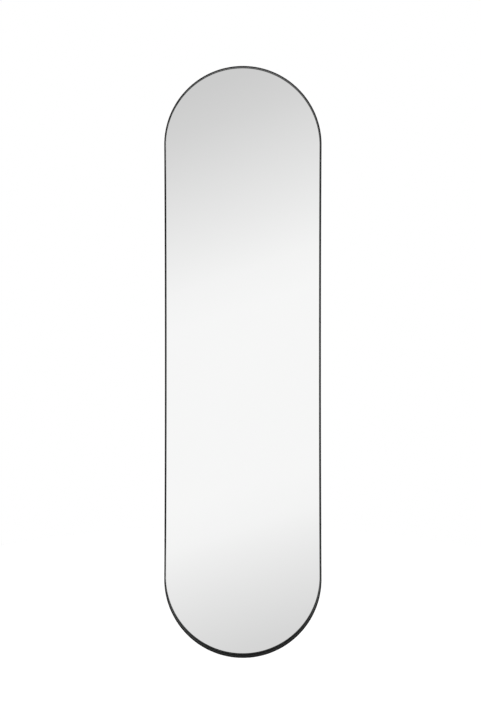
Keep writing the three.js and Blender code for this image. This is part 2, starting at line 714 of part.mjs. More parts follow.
function mirrorPanel() {
  const group = new THREE.Group();
  place(group, 'mirror_frame', 'blackCoat', frameGeometry(), 0, 0, frameBack);
  place(group, 'mirror_pane', 'silvered', pillPlate(pane.edgeGap, pane.thickness), 0, 0, paneBack);
  ['rear', 'front'].forEach((side, i) => {
    const x = (2 * i - 1) * tape.fromMiddle;
    const strip = new THREE.BoxGeometry(tape.width, tape.length, tape.thickness);
    place(group, `${side}_pane_tape`, 'foam', strip, x, 0, tapeBack + tape.thickness / 2);
  });
  place(group, 'backing_board', 'fibreboard', boardGeometry(), 0, 0, boardBack);
  place(group, 'hinge_stile', 'blackCoat', stileGeometry(), 0, 0, stileBack);
  const leafScrewLength = boardBack - (leafBack - seat) + leafScrew.bite;
  rungs.forEach(({ rung, height }) => {
    place(group, `${rung}_pivot_bracket`, 'blackCoat', pivotBracketGeometry(), 0, height);
    place(group, `${rung}_pivot_bush`, 'nylon', bushGeometry(), pivotX, height, pivotZ);
    ['low', 'high'].forEach((level, i) => {
      const screw = panScrew(leafScrew, leafScrewLength).rotateX(Math.PI);
      const y = height + leafHoles[i];
      place(group, `${rung}_bracket_${level}_screw`, 'steel', screw, leafMiddle, y, leafBack - seat);
    });
  });
  return group;
}

closetMirror.add(fixedBase(), slideRunners(), carriage(), mirrorPanel());

export default closetMirror;
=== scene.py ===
"""A tall pill-shaped mirror that pulls out of a closet on two slides and swivels to face its user.

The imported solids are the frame. Nearly every piece is built again here, with a finer surface, in its solid's
place. The backing board and the foam tapes show as the solids, with eased edges. Each piece gets its finish.
Lengths are in metres. X points the way the mirror is pulled out, Y into the closet's side panel and Z up.
"""

import json
import math
from types import SimpleNamespace as Sizes

import bmesh
import bpy
from mathutils import Matrix, Vector
from mathutils.geometry import convex_hull_2d


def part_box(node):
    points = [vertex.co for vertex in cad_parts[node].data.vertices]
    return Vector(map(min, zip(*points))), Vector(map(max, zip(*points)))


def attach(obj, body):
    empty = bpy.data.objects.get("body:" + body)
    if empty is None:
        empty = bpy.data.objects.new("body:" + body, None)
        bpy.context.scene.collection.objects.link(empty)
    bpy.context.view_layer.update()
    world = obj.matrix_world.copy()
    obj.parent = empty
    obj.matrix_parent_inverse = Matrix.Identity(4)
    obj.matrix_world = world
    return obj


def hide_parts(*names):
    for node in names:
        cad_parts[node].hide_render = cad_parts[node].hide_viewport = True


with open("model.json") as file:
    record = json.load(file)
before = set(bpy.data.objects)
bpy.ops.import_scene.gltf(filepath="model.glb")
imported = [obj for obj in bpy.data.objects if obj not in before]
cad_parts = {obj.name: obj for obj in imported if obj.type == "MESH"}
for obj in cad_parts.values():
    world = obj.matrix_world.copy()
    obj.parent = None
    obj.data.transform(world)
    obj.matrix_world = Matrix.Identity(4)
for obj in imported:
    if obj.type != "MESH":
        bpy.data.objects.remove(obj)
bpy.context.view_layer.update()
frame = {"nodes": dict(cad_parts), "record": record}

MM = 0.001
RUNGS = ("upper", "lower")

# The clearance that the solids are built with
SEAT = 0.3 * MM

# Points that are closer are one, and a face that is smaller is none
POINT_GAP, AXIS_GAP, SPECK = 0.001 * MM, 0.0005 * MM, 1e-14
TURNED_STEPS, SCREW_STEPS = 48, 40

# The ring: a flat bar bent on edge, whose long sides draw in at mid-height
WALL = 2.5 * MM
SIDE_BOW = 1.3 * MM
RING_EASE = 0.35 * MM
END_STEPS, SIDE_STEPS = 180, 24

# The tabs that are welded inside the ring and screwed to the board
TAB_WIDTH, TAB_REACH, TAB_THICKNESS, TAB_CORNER = 24 * MM, 14 * MM, 2 * MM, 4 * MM
TAB_HOLE, TAB_HOLE_INSET = 2.2 * MM, 6 * MM
TAB_ANGLES = (35, 90, 145)
TAB_ALONG_SIDE = 150 * MM
BEAD_RADIUS, BEAD_RIPPLE, BEAD_PITCH = 1.5 * MM, 0.25 * MM, 2.2 * MM
BEAD_STEPS, BEAD_SIDES, BEAD_BLUNTNESS, BEAD_TIP_SHARE = 44, 12, 8, 0.04
PLATE_EASE = 0.25 * MM

# The glass. A face whose normal has more than this share across the pane is its front or back
GLASS_GAP, GLASS_ARRIS, FLAT_SHARE = 0.5 * MM, 0.25 * MM, 0.99

# Camera: level, with its lens shifted so that upright lines stay upright
PHOTO_WIDTH, PHOTO_HEIGHT = 481, 720
MIRROR_CENTRE_PX = (242.9, 361.95)
MIRROR_HEIGHT_PX = 592.2
CAMERA_DISTANCE = 1.68
CAMERA_RISE = 0.26
CAMERA_ASIDE = 0.045
SENSOR = 36.0

ring_low, ring_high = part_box("mirror_frame")
RING_HALF_WIDTH = (ring_high.x - ring_low.x) / 2
RING_HALF_HEIGHT = (ring_high.z - ring_low.z) / 2
END_CENTRE = RING_HALF_HEIGHT - RING_HALF_WIDTH
TAB_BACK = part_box("backing_board")[1].y + SEAT + TAB_THICKNESS


# Outlines


def arc(centre, radius, start, end, steps):
    """Points of an arc from one angle to another, in degrees, both ends included."""
    angles = [math.radians(start + (end - start) * i / steps) for i in range(steps + 1)]
    return [(centre[0] + radius * math.cos(a), centre[1] + radius * math.sin(a)) for a in angles]


def circle(centre, radius, steps):
    return arc(centre, radius, 0, 360 - 360 / steps, steps - 1)


def side_x(height, inset):
    """How far out the ring's long side is at a height, drawn in by inset."""
    return RING_HALF_WIDTH - inset - SIDE_BOW * (1 - (height / END_CENTRE) ** 2)


def pill(inset):
    """The ring's outline, drawn in by inset, as points (x, z) counterclockwise from the right tangent."""
    radius = RING_HALF_WIDTH - inset
    heights = [END_CENTRE * (1 - 2 * (i + 1) / SIDE_STEPS) for i in range(SIDE_STEPS - 1)]
    return [
        *arc((0, END_CENTRE), radius, 0, 180, END_STEPS),
        *[(-side_x(z, inset), z) for z in heights],
        *arc((0, -END_CENTRE), radius, 180, 360, END_STEPS),
        *[(side_x(z, inset), -z) for z in heights],
    ]


def fillets(corners, closed=False, steps=8):
    """The points of a line or outline of corners (x, y, radius). A fillet is no longer than its sides."""
    points = []
    for i, (x, y, radius) in enumerate(corners):
        corner = Vector((x, y))
        if radius == 0 or (not closed and i in (0, len(corners) - 1)):
            points.append((x, y))
            continue
        before = Vector(corners[i - 1][:2]) - corner
        after = Vector(corners[(i + 1) % len(corners)][:2]) - corner
        half = before.angle(after) / 2
        reach = min(radius / math.tan(half), before.length, after.length)
        inward = (before.normalized() + after.normalized()).normalized() * (reach / math.cos(half))
        start = before.normalized() * reach - inward
        sweep = math.copysign(math.pi - 2 * half, before.cross(after))
        turns = [Matrix.Rotation(-sweep * k / steps, 2) for k in range(steps + 1)]
        points += [tuple(corner + inward + turn @ start) for turn in turns]
    return points


def box_outline(left, right, low, high, corner, steps=8):
    """A rectangle with round corners, counterclockwise."""
    corners = [(left, low, corner), (right, low, corner), (right, high, corner), (left, high, corner)]
    return fillets(corners, closed=True, steps=steps)


# Meshes


def add_object(name, data):
    thing = bpy.data.objects.new(name, data)
    bpy.context.scene.collection.objects.link(thing)
    return thing


def rework(mesh, *changes):
    """Lets functions change a mesh as a bmesh, one after the other."""
    work = bmesh.new()
    work.from_mesh(mesh)
    for change in changes:
        change(work)
    work.to_mesh(mesh)
    work.free()
    return mesh


def face_outward(work):
    bmesh.ops.recalc_face_normals(work, faces=work.faces)


def merge_points(work):
    bmesh.ops.remove_doubles(work, verts=work.verts, dist=POINT_GAP)


def made_mesh(name, build):
    """A mesh from a function that fills an empty bmesh."""
    return rework(bpy.data.meshes.new(name), build, merge_points, face_outward)


def draft(build):
    """A new object for a piece or a tool, from a function that fills an empty bmesh."""
    return add_object("draft", made_mesh("draft", build))


def evaluated_mesh(thing):
    """The mesh of a curve, or of an object with its modifiers applied."""
    return bpy.data.meshes.new_from_object(thing.evaluated_get(bpy.context.evaluated_depsgraph_get()))


def smooth(mesh, degrees):
    mesh.shade_smooth()
    mesh.set_sharp_from_angle(angle=math.radians(degrees))


def modify(thing, kind, **settings):
    modifier = thing.modifiers.new(kind.lower(), kind)
    for name, value in settings.items():
        setattr(modifier, name, value)


def even_shading(thing):
    """Lets large flat faces set the shading of the eased edges round them."""
    modify(thing, "WEIGHTED_NORMAL", keep_sharp=True)


def loft(work, rings, along=False, caps=True):
    """Faces between closed rings of points. along joins the last ring to the first, caps closes both ends."""
    rows = [[work.verts.new(point) for point in ring] for ring in rings]
    count = len(rows[0])
    pairs = list(zip(rows, rows[1:])) + ([(rows[-1], rows[0])] if along else [])
    for before, after in pairs:
        for i in range(count):
            j = (i + 1) % count
            work.faces.new((before[i], before[j], after[j], after[i]))
    if caps and not along:
        work.faces.new(rows[0][::-1])
        work.faces.new(rows[-1])


def revolve(work, profile, steps):
    """A profile of points (radius, height), turned about the Z axis. Its ends may lie on the axis."""
    rings = []
    for radius, height in profile:
        angles = [2 * math.pi * i / steps for i in range(steps)]
        rings.append([(radius * math.cos(a), radius * math.sin(a), height) for a in angles])
    closed = profile[0] == profile[-1]
    loft(work, rings[:-1] if closed else rings, along=closed, caps=False)
    bmesh.ops.remove_doubles(work, verts=work.verts, dist=AXIS_GAP)
    specks = [face for face in work.faces if face.calc_area() < SPECK]
    bmesh.ops.delete(work, geom=specks, context="FACES")


def combine(thing, operation, *tools):
    """Joins, cuts or intersects one object with others, which are used up."""
    for tool in tools:
        modify(thing, "BOOLEAN", operation=operation, solver="EXACT", object=tool)
    result = evaluated_mesh(thing)
    thing.modifiers.clear()
    thing.data = result
    for tool in tools:
        bpy.data.objects.remove(tool)
    return thing


def carve(thing, *tools):
    return combine(thing, "DIFFERENCE", *tools)


def plate_mesh(name, outline, holes, low, high):
    """A plate in the XZ plane between two depths, with eased edges, from outlines of points (x, z)."""
    curve = bpy.data.curves.new(name, "CURVE")
    curve.dimensions = "2D"
    curve.fill_mode = "BOTH"
    curve.extrude = (high - low) / 2 - PLATE_EASE
    curve.bevel_depth = PLATE_EASE
    curve.bevel_resolution = 2
    curve.offset = -PLATE_EASE
    for points in [outline, *holes]:
        spline = curve.splines.new("POLY")
        spline.points.add(len(points) - 1)
        for place, (x, z) in zip(spline.points, points):
            place.co = (x, z, 0, 1)
        spline.use_cyclic_u = True
    holder = add_object(name, curve)
    mesh = evaluated_mesh(holder)
    bpy.data.objects.remove(holder)
    mesh.transform(Matrix(((1, 0, 0, 0), (0, 0, -1, (low + high) / 2), (0, 1, 0, 0), (0, 0, 0, 1))))
    return rework(mesh, merge_points, face_outward)


# Materials


class Wiring:
    """The nodes of a tree, made and joined by short calls."""

    def __init__(self, tree):
        self.nodes, self.links = tree.nodes, tree.links

    def feed(self, node, inputs):
        """Joins or sets a node's inputs, which are given by name or number."""
        for socket, value in dict(inputs).items():
            if isinstance(value, bpy.types.NodeSocket):
                self.links.new(value, node.inputs[socket])
            else:
                node.inputs[socket].default_value = value

    def add(self, kind, inputs=(), **settings):
        node = self.nodes.new(kind)
        for name, value in settings.items():
            setattr(node, name, value)
        self.feed(node, inputs)
        return node

    def math(self, operation, *values):
        return self.add("ShaderNodeMath", dict(enumerate(values)), operation=operation).outputs["Value"]

    def between(self, value, low, high, start=0.3, end=0.7):
        """A value, stretched from start and end to low and high."""
        ends = {"From Min": start, "From Max": end, "To Min": low, "To Max": high}
        return self.add("ShaderNodeMapRange", {"Value": value, **ends}).outputs["Result"]

    def split(self, vector):
        return self.add("ShaderNodeSeparateXYZ", {"Vector": vector}).outputs


class Finish(Wiring):
    """A material whose shader is fed by textures in the object's own metres."""

    def __init__(self, name, **uniform):
        self.material = bpy.data.materials.new(name)
        self.material.use_nodes = True
        super().__init__(self.material.node_tree)
        self.shader = self.nodes["Principled BSDF"]
        self.coordinates = self.add("ShaderNodeTexCoord").outputs
        self.feed(self.shader, {name.replace("_", " "): value for name, value in uniform.items()})

    def noise(self, scale, detail=3.0, rough=0.5, stretch=(1, 1, 1)):
        mapping = self.add("ShaderNodeMapping", {"Vector": self.coordinates["Object"], "Scale": stretch})
        inputs = {"Vector": mapping.outputs["Vector"], "Scale": scale, "Detail": detail, "Roughness": rough}
        return self.add("ShaderNodeTexNoise", inputs).outputs["Fac"]

    def cells(self, scale):
        inputs = {"Vector": self.coordinates["Object"], "Scale": scale}
        return self.add("ShaderNodeTexVoronoi", inputs).outputs["Distance"]

    def mixed(self, factor, *colours):
        """A mix of two colours, by a factor from 0 to 1."""
        first, second = (c if isinstance(c, bpy.types.NodeSocket) else (*c, 1) for c in colours)
        inputs = {"Factor": factor, 6: first, 7: second}
        return self.add("ShaderNodeMix", inputs, data_type="RGBA").outputs[2]

    def worn_edges(self, radius, start, end):
        """1 on sharp edges and 0 elsewhere, from how far a rounded edge's normal leans from the face's."""
        rounded = self.add("ShaderNodeBevel", {"Radius": radius}, samples=4).outputs["Normal"]
        normals = {0: rounded, 1: self.add("ShaderNodeNewGeometry").outputs["Normal"]}
        product = self.add("ShaderNodeVectorMath", normals, operation="DOT_PRODUCT")
        return self.between(product.outputs["Value"], 0, 1, start, end)

    def made(self, colour, roughness, height=None, depth=0, strength=0):
        """The material, once its shader is fed, with the bumps of a height if one is given."""
        self.feed(self.shader, {"Base Color": colour, "Roughness": roughness})
        if height:
            bump = self.add("ShaderNodeBump", {"Height": height, "Distance": depth, "Strength": strength})
            self.feed(self.shader, {"Normal": bump.outputs["Normal"]})
        return self.material


def black_gloss_coat():
    finish = Finish(
        "ring_black_coat", Specular_IOR_Level=0.1, Coat_Weight=1.0, Coat_IOR=1.12, Coat_Roughness=0.05
    )
    peel = finish.noise(700, detail=2)
    colour = finish.mixed(peel, (0.002, 0.002, 0.0023), (0.008, 0.008, 0.0084))
    return finish.made(colour, finish.between(finish.noise(14, detail=2), 0.2, 0.3), peel, 0.01 * MM, 0.2)


def silvering():
    finish = Finish("silvered_glass_face", Metallic=1.0)
    cloud = finish.noise(5, detail=2)
    colour = finish.mixed(cloud, (0.928, 0.93, 0.928), (0.938, 0.94, 0.938))
    return finish.made(colour, finish.between(cloud, 0.004, 0.012))


def glass_edge():
    finish = Finish("glass_edge_ground", Coat_Weight=0.6, Coat_Roughness=0.08)
    grind = finish.noise(900)
    colour = finish.mixed(grind, (0.38, 0.52, 0.46), (0.52, 0.64, 0.59))
    return finish.made(colour, finish.between(grind, 0.22, 0.4))


def mirror_back_paint():
    finish = Finish("glass_back_paint")
    roll = finish.noise(60, detail=4, stretch=(1, 1, 0.15))
    colour = finish.mixed(roll, (0.19, 0.2, 0.21), (0.24, 0.25, 0.26))
    return finish.made(colour, finish.between(roll, 0.5, 0.65), roll, 0.03 * MM, 0.3)


def painted_fibreboard():
    """Black paint on the board's faces, and the raw fibres along its edge."""
    finish = Finish("fibreboard_black")
    fibre = finish.noise(420, detail=5, rough=0.65, stretch=(1, 1, 0.45))
    raw = finish.mixed(fibre, (0.10, 0.062, 0.036), (0.19, 0.125, 0.078))
    paint = finish.mixed(fibre, (0.017, 0.0165, 0.016), (0.036, 0.035, 0.033))
    facing = finish.math("ABSOLUTE", finish.split(finish.coordinates["Normal"])["Y"])
    colour = finish.mixed(finish.between(facing, 0, 1, 0.4, 0.6), raw, paint)
    return finish.made(colour, finish.between(finish.noise(7, detail=4), 0.62, 0.78), fibre, 0.08 * MM, 0.5)


def foam():
    finish = Finish("foam_tape_grey")
    cell = finish.cells(2600)
    colour = finish.mixed(cell, (0.55, 0.55, 0.52), (0.74, 0.74, 0.71))
    return finish.made(colour, finish.between(cell, 0.95, 0.8, 0.1, 0.6), cell, 0.12 * MM, 0.6)


def textured_powder_coat():
    """A fine black texture, rubbed to grey in patches along sharp edges."""
    finish = Finish("hardware_black_coat", Specular_IOR_Level=0.45)
    grit = finish.noise(1500, rough=0.6)
    worn = finish.worn_edges(0.5 * MM, 0.98, 0.82)
    patchy = finish.math("MULTIPLY", worn, finish.between(finish.noise(160, detail=4), 0, 1, 0.42, 0.66))
    paint = finish.mixed(finish.noise(18), (0.017, 0.017, 0.018), (0.027, 0.027, 0.028))
    colour = finish.mixed(patchy, paint, (0.085, 0.085, 0.088))
    return finish.made(colour, finish.between(grit, 0.42, 0.62), grit, 0.05 * MM, 0.55)


def zinc_plate():
    finish = Finish("slide_zinc", Metallic=1.0)
    cloud = finish.noise(22, detail=4, stretch=(0.35, 1, 1))
    rolled = finish.noise(700, stretch=(0.03, 1, 1))
    colour = finish.mixed(finish.between(cloud, 0, 1), (0.56, 0.585, 0.62), (0.67, 0.675, 0.68))
    return finish.made(colour, finish.between(rolled, 0.24, 0.42), rolled, 0.015 * MM, 0.35)


def oiled_steel():
    finish = Finish("cage_steel", Metallic=1.0)
    film = finish.noise(90, detail=4)
    colour = finish.mixed(finish.between(film, 0, 1), (0.33, 0.315, 0.29), (0.53, 0.53, 0.53))
    return finish.made(colour, finish.between(film, 0.18, 0.38), finish.noise(900, detail=2), 0.01 * MM, 0.3)


def plated_fastener():
    finish = Finish("fastener_zinc", Metallic=1.0)
    film = finish.noise(220)
    turning = finish.noise(1600, detail=2)
    colour = finish.mixed(finish.between(film, 0, 1), (0.64, 0.65, 0.665), (0.74, 0.742, 0.74))
    return finish.made(colour, finish.between(film, 0.24, 0.33), turning, 0.004 * MM, 0.15)


def natural_nylon():
    finish = Finish("nylon_natural", Subsurface_Weight=0.15, Subsurface_Scale=2 * MM)
    cloud = finish.noise(240)
    grain = finish.noise(1800, detail=2)
    colour = finish.mixed(cloud, (0.68, 0.665, 0.6), (0.8, 0.79, 0.74))
    return finish.made(colour, finish.between(cloud, 0.38, 0.52), grain, 0.02 * MM, 0.3)


def moulded_black():
    finish = Finish("plastic_black")
    spark = finish.noise(2200, rough=0.6)
    colour = finish.mixed(spark, (0.016, 0.016, 0.016), (0.028, 0.028, 0.028))
    return finish.made(colour, finish.between(spark, 0.42, 0.62), spark, 0.04 * MM, 0.5)


def matt_rubber():
    finish = Finish("rubber_black", Specular_IOR_Level=0.3)
    bloom = finish.noise(180, detail=4)
    colour = finish.mixed(bloom, (0.014, 0.014, 0.0135), (0.032, 0.031, 0.03))
    return finish.made(colour, finish.between(bloom, 0.78, 0.92), finish.noise(1400), 0.06 * MM, 0.5)


FINISHES = {
    "frame_coat": black_gloss_coat(),
    "silvered_glass": silvering(),
    "board_paint": painted_fibreboard(),
    "foam_tape": foam(),
    "hardware_coat": textured_powder_coat(),
    "zinc_steel": zinc_plate(),
    "cage_steel": oiled_steel(),
    "bright_steel": plated_fastener(),
    "nylon": natural_nylon(),
    "black_plastic": moulded_black(),
    "rubber": matt_rubber(),
}
SLOT_OF = {part["node"]: part["material_slot"] for part in frame["record"]["subparts"]}
BODY_OF = {
    node: body for body, nodes in frame["record"]["behaviour"]["bodies"].items() for node in nodes
}


# Carried-over nodes: eased edges and true shading


def shading_group(degrees):
    """A node group that shades faces smooth and keeps edges sharper than an angle sharp."""
    tree = bpy.data.node_groups.new("smooth_by_angle", "GeometryNodeTree")
    for way in ("INPUT", "OUTPUT"):
        tree.interface.new_socket("Geometry", in_out=way, socket_type="NodeSocketGeometry")
    wiring = Wiring(tree)
    lean = wiring.add("GeometryNodeInputMeshEdgeAngle").outputs["Unsigned Angle"]
    angles = {"A": lean, "B": math.radians(degrees)}
    sharper = wiring.add("FunctionNodeCompare", angles, data_type="FLOAT", operation="GREATER_THAN")
    left_sharp = {"Selection": sharper.outputs["Result"], "Shade Smooth": False}
    node = wiring.add("NodeGroupInput")
    for domain, inputs in (("FACE", {}), ("EDGE", left_sharp)):
        geometry = node.outputs["Geometry"]
        node = wiring.add("GeometryNodeSetShadeSmooth", {"Geometry": geometry, **inputs}, domain=domain)
    wiring.add("NodeGroupOutput", {"Geometry": node.outputs["Geometry"]})
    return tree


SMOOTH_SHEET, SMOOTH_TURNED = shading_group(50), shading_group(40)


def soften(thing, width, group):
    """Welds a mesh's split corners, joins its flat facets, rounds its edges and shades it true."""
    modify(thing, "WELD", merge_threshold=0.002 * MM)
    modify(thing, "DECIMATE", decimate_type="DISSOLVE", angle_limit=math.radians(0.5))
    modify(thing, "BEVEL", width=width, segments=2, limit_method="ANGLE", angle_limit=math.radians(50))
    modify(thing, "NODES", node_group=group)
    even_shading(thing)


def coat(thing, finishes):
    thing.data.materials.clear()
    for finish in finishes:
        thing.data.materials.append(finish)


def dress(thing, node, finishes=None):
    """A new piece takes the place of a node: it gets its finish and its body, and the node is hidden."""
    coat(thing, finishes or [FINISHES[SLOT_OF[node]]])
    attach(thing, BODY_OF[node])
    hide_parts(node)


# The ring


def tab_places():
    """Where each welded tab starts on the ring's inner wall, and which way it points, in degrees."""
    wall = RING_HALF_WIDTH - WALL
    places = []
    for angle in TAB_ANGLES:
        lean = math.radians(angle)
        x, z = wall * math.cos(lean), END_CENTRE + wall * math.sin(lean)
        places += [((x, z), angle + 180), ((x, -z), 180 - angle)]
    return places + [((-side_x(z, WALL), z), 0) for z in (-TAB_ALONG_SIDE, TAB_ALONG_SIDE)]


def tab_outline():
    start = -WALL / 2
    half = TAB_WIDTH / 2
    return [
        (start, -half),
        *arc((TAB_REACH - TAB_CORNER, -half + TAB_CORNER), TAB_CORNER, -90, 0, 6),
        *arc((TAB_REACH - TAB_CORNER, half - TAB_CORNER), TAB_CORNER, 0, 90, 6),
        (start, half),
    ]


def turned_points(points, origin, degrees):
    cos, sin = math.cos(math.radians(degrees)), math.sin(math.radians(degrees))
    return [(origin[0] + x * cos - z * sin, origin[1] + x * sin + z * cos) for x, z in points]


def bead(work, origin, degrees, depth):
    """A rippled weld bead in the corner between a tab's back and the ring's wall."""
    span = TAB_WIDTH - 2 * BEAD_RADIUS
    rings = []
    for i in range(BEAD_STEPS + 1):
        along = span * (i / BEAD_STEPS - 0.5)
        fullness = math.sqrt(max(0, 1 - (2 * i / BEAD_STEPS - 1) ** BEAD_BLUNTNESS))
        ripple = BEAD_RIPPLE * abs(math.sin(math.pi * along / BEAD_PITCH))
        radius = (BEAD_RADIUS + ripple) * min(1, fullness + BEAD_TIP_SHARE)
        ring = []
        for x, y in circle((0, depth), radius, BEAD_SIDES):
            ((px, pz),) = turned_points([(x, along)], origin, degrees)
            ring.append((px, y, pz))
        rings.append(ring)
    loft(work, rings)


def pill_rings(rows):
    """The pill's outline at each inset and depth, as rings of points (x, y, z)."""
    return [[(x, depth, z) for x, z in pill(inset)] for inset, depth in rows]


def build_ring():
    section = box_outline(0, WALL, ring_low.y, ring_high.y, RING_EASE, steps=4)
    ring = made_mesh("ring", lambda work: loft(work, pill_rings(section), along=True))
    hole = circle((TAB_REACH - TAB_HOLE_INSET, 0), TAB_HOLE, 24)

    def add_tabs(work):
        for origin, degrees in tab_places():
            outline, opening = (turned_points(points, origin, degrees) for points in (tab_outline(), hole))
            work.from_mesh(plate_mesh("tab", outline, [opening], TAB_BACK - TAB_THICKNESS, TAB_BACK))
            bead(work, origin, degrees, TAB_BACK)

    rework(ring, add_tabs, face_outward)
    smooth(ring, 40)
    thing = add_object("pill_ring", ring)
    even_shading(thing)
    dress(thing, "mirror_frame")


# The glass: a pill with a ground arris, silvered on its face as seen, painted behind


def build_glass():
    low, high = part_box("mirror_pane")
    inset = WALL + GLASS_GAP
    rows = [
        (inset + GLASS_ARRIS, low.y),
        (inset, low.y + GLASS_ARRIS),
        (inset, high.y - GLASS_ARRIS / 2),
        (inset + GLASS_ARRIS / 2, high.y),
    ]
    thing = add_object("glass_pane", made_mesh("glass", lambda work: loft(work, pill_rings(rows))))
    dress(thing, "mirror_pane", [FINISHES["silvered_glass"], glass_edge(), mirror_back_paint()])
    for face in thing.data.polygons:
        face.material_index = 0 if face.normal.y < -FLAT_SHARE else 2 if face.normal.y > FLAT_SHARE else 1


# Fasteners


def cross_cutters(reach, width, depth, top):
    """Two crossed, tapered blades for a screw's recess, pointing down from a height."""
    blades = []
    for across in (False, True):
        rings = []
        for (long, wide), height in zip(RECESS_SHARES, (top + RECESS_RISE, top - depth)):
            right, far = reach * long, width / 2 * wide
            ring = [(x, y, height) for x, y in ((-right, -far), (right, -far), (right, far), (-right, far))]
            rings.append([(-y, x, z) if across else (x, y, z) for x, y, z in ring])
        blades.append(draft(lambda work: loft(work, rings)))
    return blades


def thread_profile(radius, pitch, start, end):
    """A shank's points from start down to end, with the crests and roots of a thread."""
    points = []
    for i in range(int((start - end) / pitch)):
        crest = start - i * pitch
        for inward, down in THREAD_SHARES:
            points.append((radius - inward * pitch, crest - down * pitch))
    return points + [(radius - inward * pitch, end + up * pitch) for inward, up in TIP_SHARES]


def screw_mesh(profile, recess):
    """A turned screw whose head has a cross recess."""
    thing = carve(draft(lambda work: revolve(work, profile, SCREW_STEPS)), *cross_cutters(*recess))
    mesh = thing.data
    bpy.data.objects.remove(thing)
    smooth(mesh, 32)
    return mesh


def pan_screw_mesh(size, length):
    """A pan head, bearing on z = 0, and a threaded shank below it."""
    head, rise, shank, pitch = size
    edge = rise * PAN_EDGE_SHARE
    dome = [(head * x, edge + (rise - edge) * y) for x, y in arc((0, 0), 1, 0, 90, 6)[1:-1]]
    threads = thread_profile(shank, pitch, -PLAIN_SHANK, -length)
    rounded = [(head - HEAD_EASE, 0), (head, HEAD_EASE), (head, edge), *dome, (0, rise)]
    profile = [(0, -length), *threads[::-1], (shank, 0), *rounded]
    reach, width, depth = PAN_RECESS_SHARES
    return screw_mesh(profile, (head * reach, head * width, rise * depth, rise))


def flat_screw_mesh(size, length):
    """A countersunk head whose face is at z = 0."""
    head, rise, shank, pitch = size
    threads = thread_profile(shank, pitch, -rise - FLAT_NECK, -length)
    profile = [(0, -length), *threads[::-1], (shank, -rise), (head, -FLAT_EDGE), (head, 0), (0, 0)]
    reach, width, depth = FLAT_RECESS_SHARES
    return screw_mesh(profile, (head * reach, head * width, rise * depth, 0))


OUTWARD = Matrix.Rotation(math.pi / 2, 4, "X")  # a head that faces away from the side panel
INWARD = Matrix.Rotation(-math.pi / 2, 4, "X")  # a head that faces the side panel
HEAD_EASE, PLAIN_SHANK, FLAT_EDGE, FLAT_NECK = 0.25 * MM, 0.8 * MM, 0.15 * MM, 0.3 * MM

# A thread's crest and root, and a shank's tip, in from its radius and along it, in shares of its pitch
THREAD_SHARES, TIP_SHARES = ((0, 0), (0, 0.15), (0.55, 0.6)), ((0.3, 0.2), (0.6, 0))

# A pan head's straight edge, in shares of its height
PAN_EDGE_SHARE = 0.45

# A recess's reach and width, in shares of the head's radius, and its depth, in shares of the head's height
PAN_RECESS_SHARES, FLAT_RECESS_SHARES = (0.55, 0.24, 0.62), (0.5, 0.22, 1.3)

# A recess's blades at their top and at their floor, in shares of its reach and width, and how far the top is
# above the head
RECESS_SHARES, RECESS_RISE = ((1.15, 1.06), (0.55, 0.82)), 0.2 * MM

# Head radius, head height, shank radius and thread pitch
POST_SCREW = (4.5 * MM, 3 * MM, 2.5 * MM, 0.8 * MM)
REST_SCREW = (4 * MM, 2.4 * MM, 2 * MM, 0.7 * MM)
BRACKET_SCREW = (4 * MM, 2.6 * MM, 2 * MM, 0.7 * MM)
TAB_SCREW, TAB_SCREW_LENGTH = (3.5 * MM, 2.2 * MM, 1.8 * MM, 0.7 * MM), 6.2 * MM
SLIDE_SCREW = (4 * MM, 1 * MM, 2.5 * MM, 0.8 * MM)


def place_screw(name, mesh, spot, facing):
    thing = add_object(name, mesh)
    thing.matrix_world = Matrix.Translation(spot) @ facing
    return thing


def screw_for(node, mesh, facing):
    """Puts a screw where its node is: on its axis, with the head on the same face."""
    low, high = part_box(node)
    head_rise = max(vertex.co.z for vertex in mesh.vertices)
    depth = low.y + head_rise if facing is OUTWARD else high.y - head_rise
    spot = Vector(((low.x + high.x) / 2, depth, (low.z + high.z) / 2))
    dress(place_screw(node + "_turned", mesh, spot, facing), node)


def node_length(node):
    low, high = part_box(node)
    return high.y - low.y


def build_screws():
    kinds = {
        "rear_post_screw": (POST_SCREW, OUTWARD),
        "front_post_screw": (POST_SCREW, OUTWARD),
        "rest_screw": (REST_SCREW, OUTWARD),
        "bracket_low_screw": (BRACKET_SCREW, INWARD),
        "bracket_high_screw": (BRACKET_SCREW, INWARD),
    }
    for kind, (size, facing) in kinds.items():
        mesh = pan_screw_mesh(size, node_length("upper_" + kind) - size[1])
        for rung in RUNGS:
            screw_for(f"{rung}_{kind}", mesh, facing)
    flat = flat_screw_mesh(SLIDE_SCREW, node_length("upper_rear_slide_screw"))
    for rung in RUNGS:
        for end in ("rear", "front"):
            screw_for(f"{rung}_{end}_slide_screw", flat, OUTWARD)


def build_tab_screws():
    """The eight screws that hold the board to the welded tabs."""
    mesh = pan_screw_mesh(TAB_SCREW, TAB_SCREW_LENGTH)
    for i, (origin, degrees) in enumerate(tab_places()):
        ((x, z),) = turned_points([(TAB_REACH - TAB_HOLE_INSET, 0)], origin, degrees)
        thing = place_screw(f"tab_screw_{i + 1}", mesh, Vector((x, TAB_BACK, z)), INWARD)
        coat(thing, [FINISHES["bright_steel"]])
        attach(thing, "mirror_panel")


# Finer forms of the hardware. They are drawn as the solids are: in millimetres, with X the way the mirror is
# pulled out, Y up and Z out of the side panel, and then turned into the scene's frame.

TO_SCENE = Matrix.Rotation(math.pi / 2, 4, "X") @ Matrix.Scale(MM, 4)

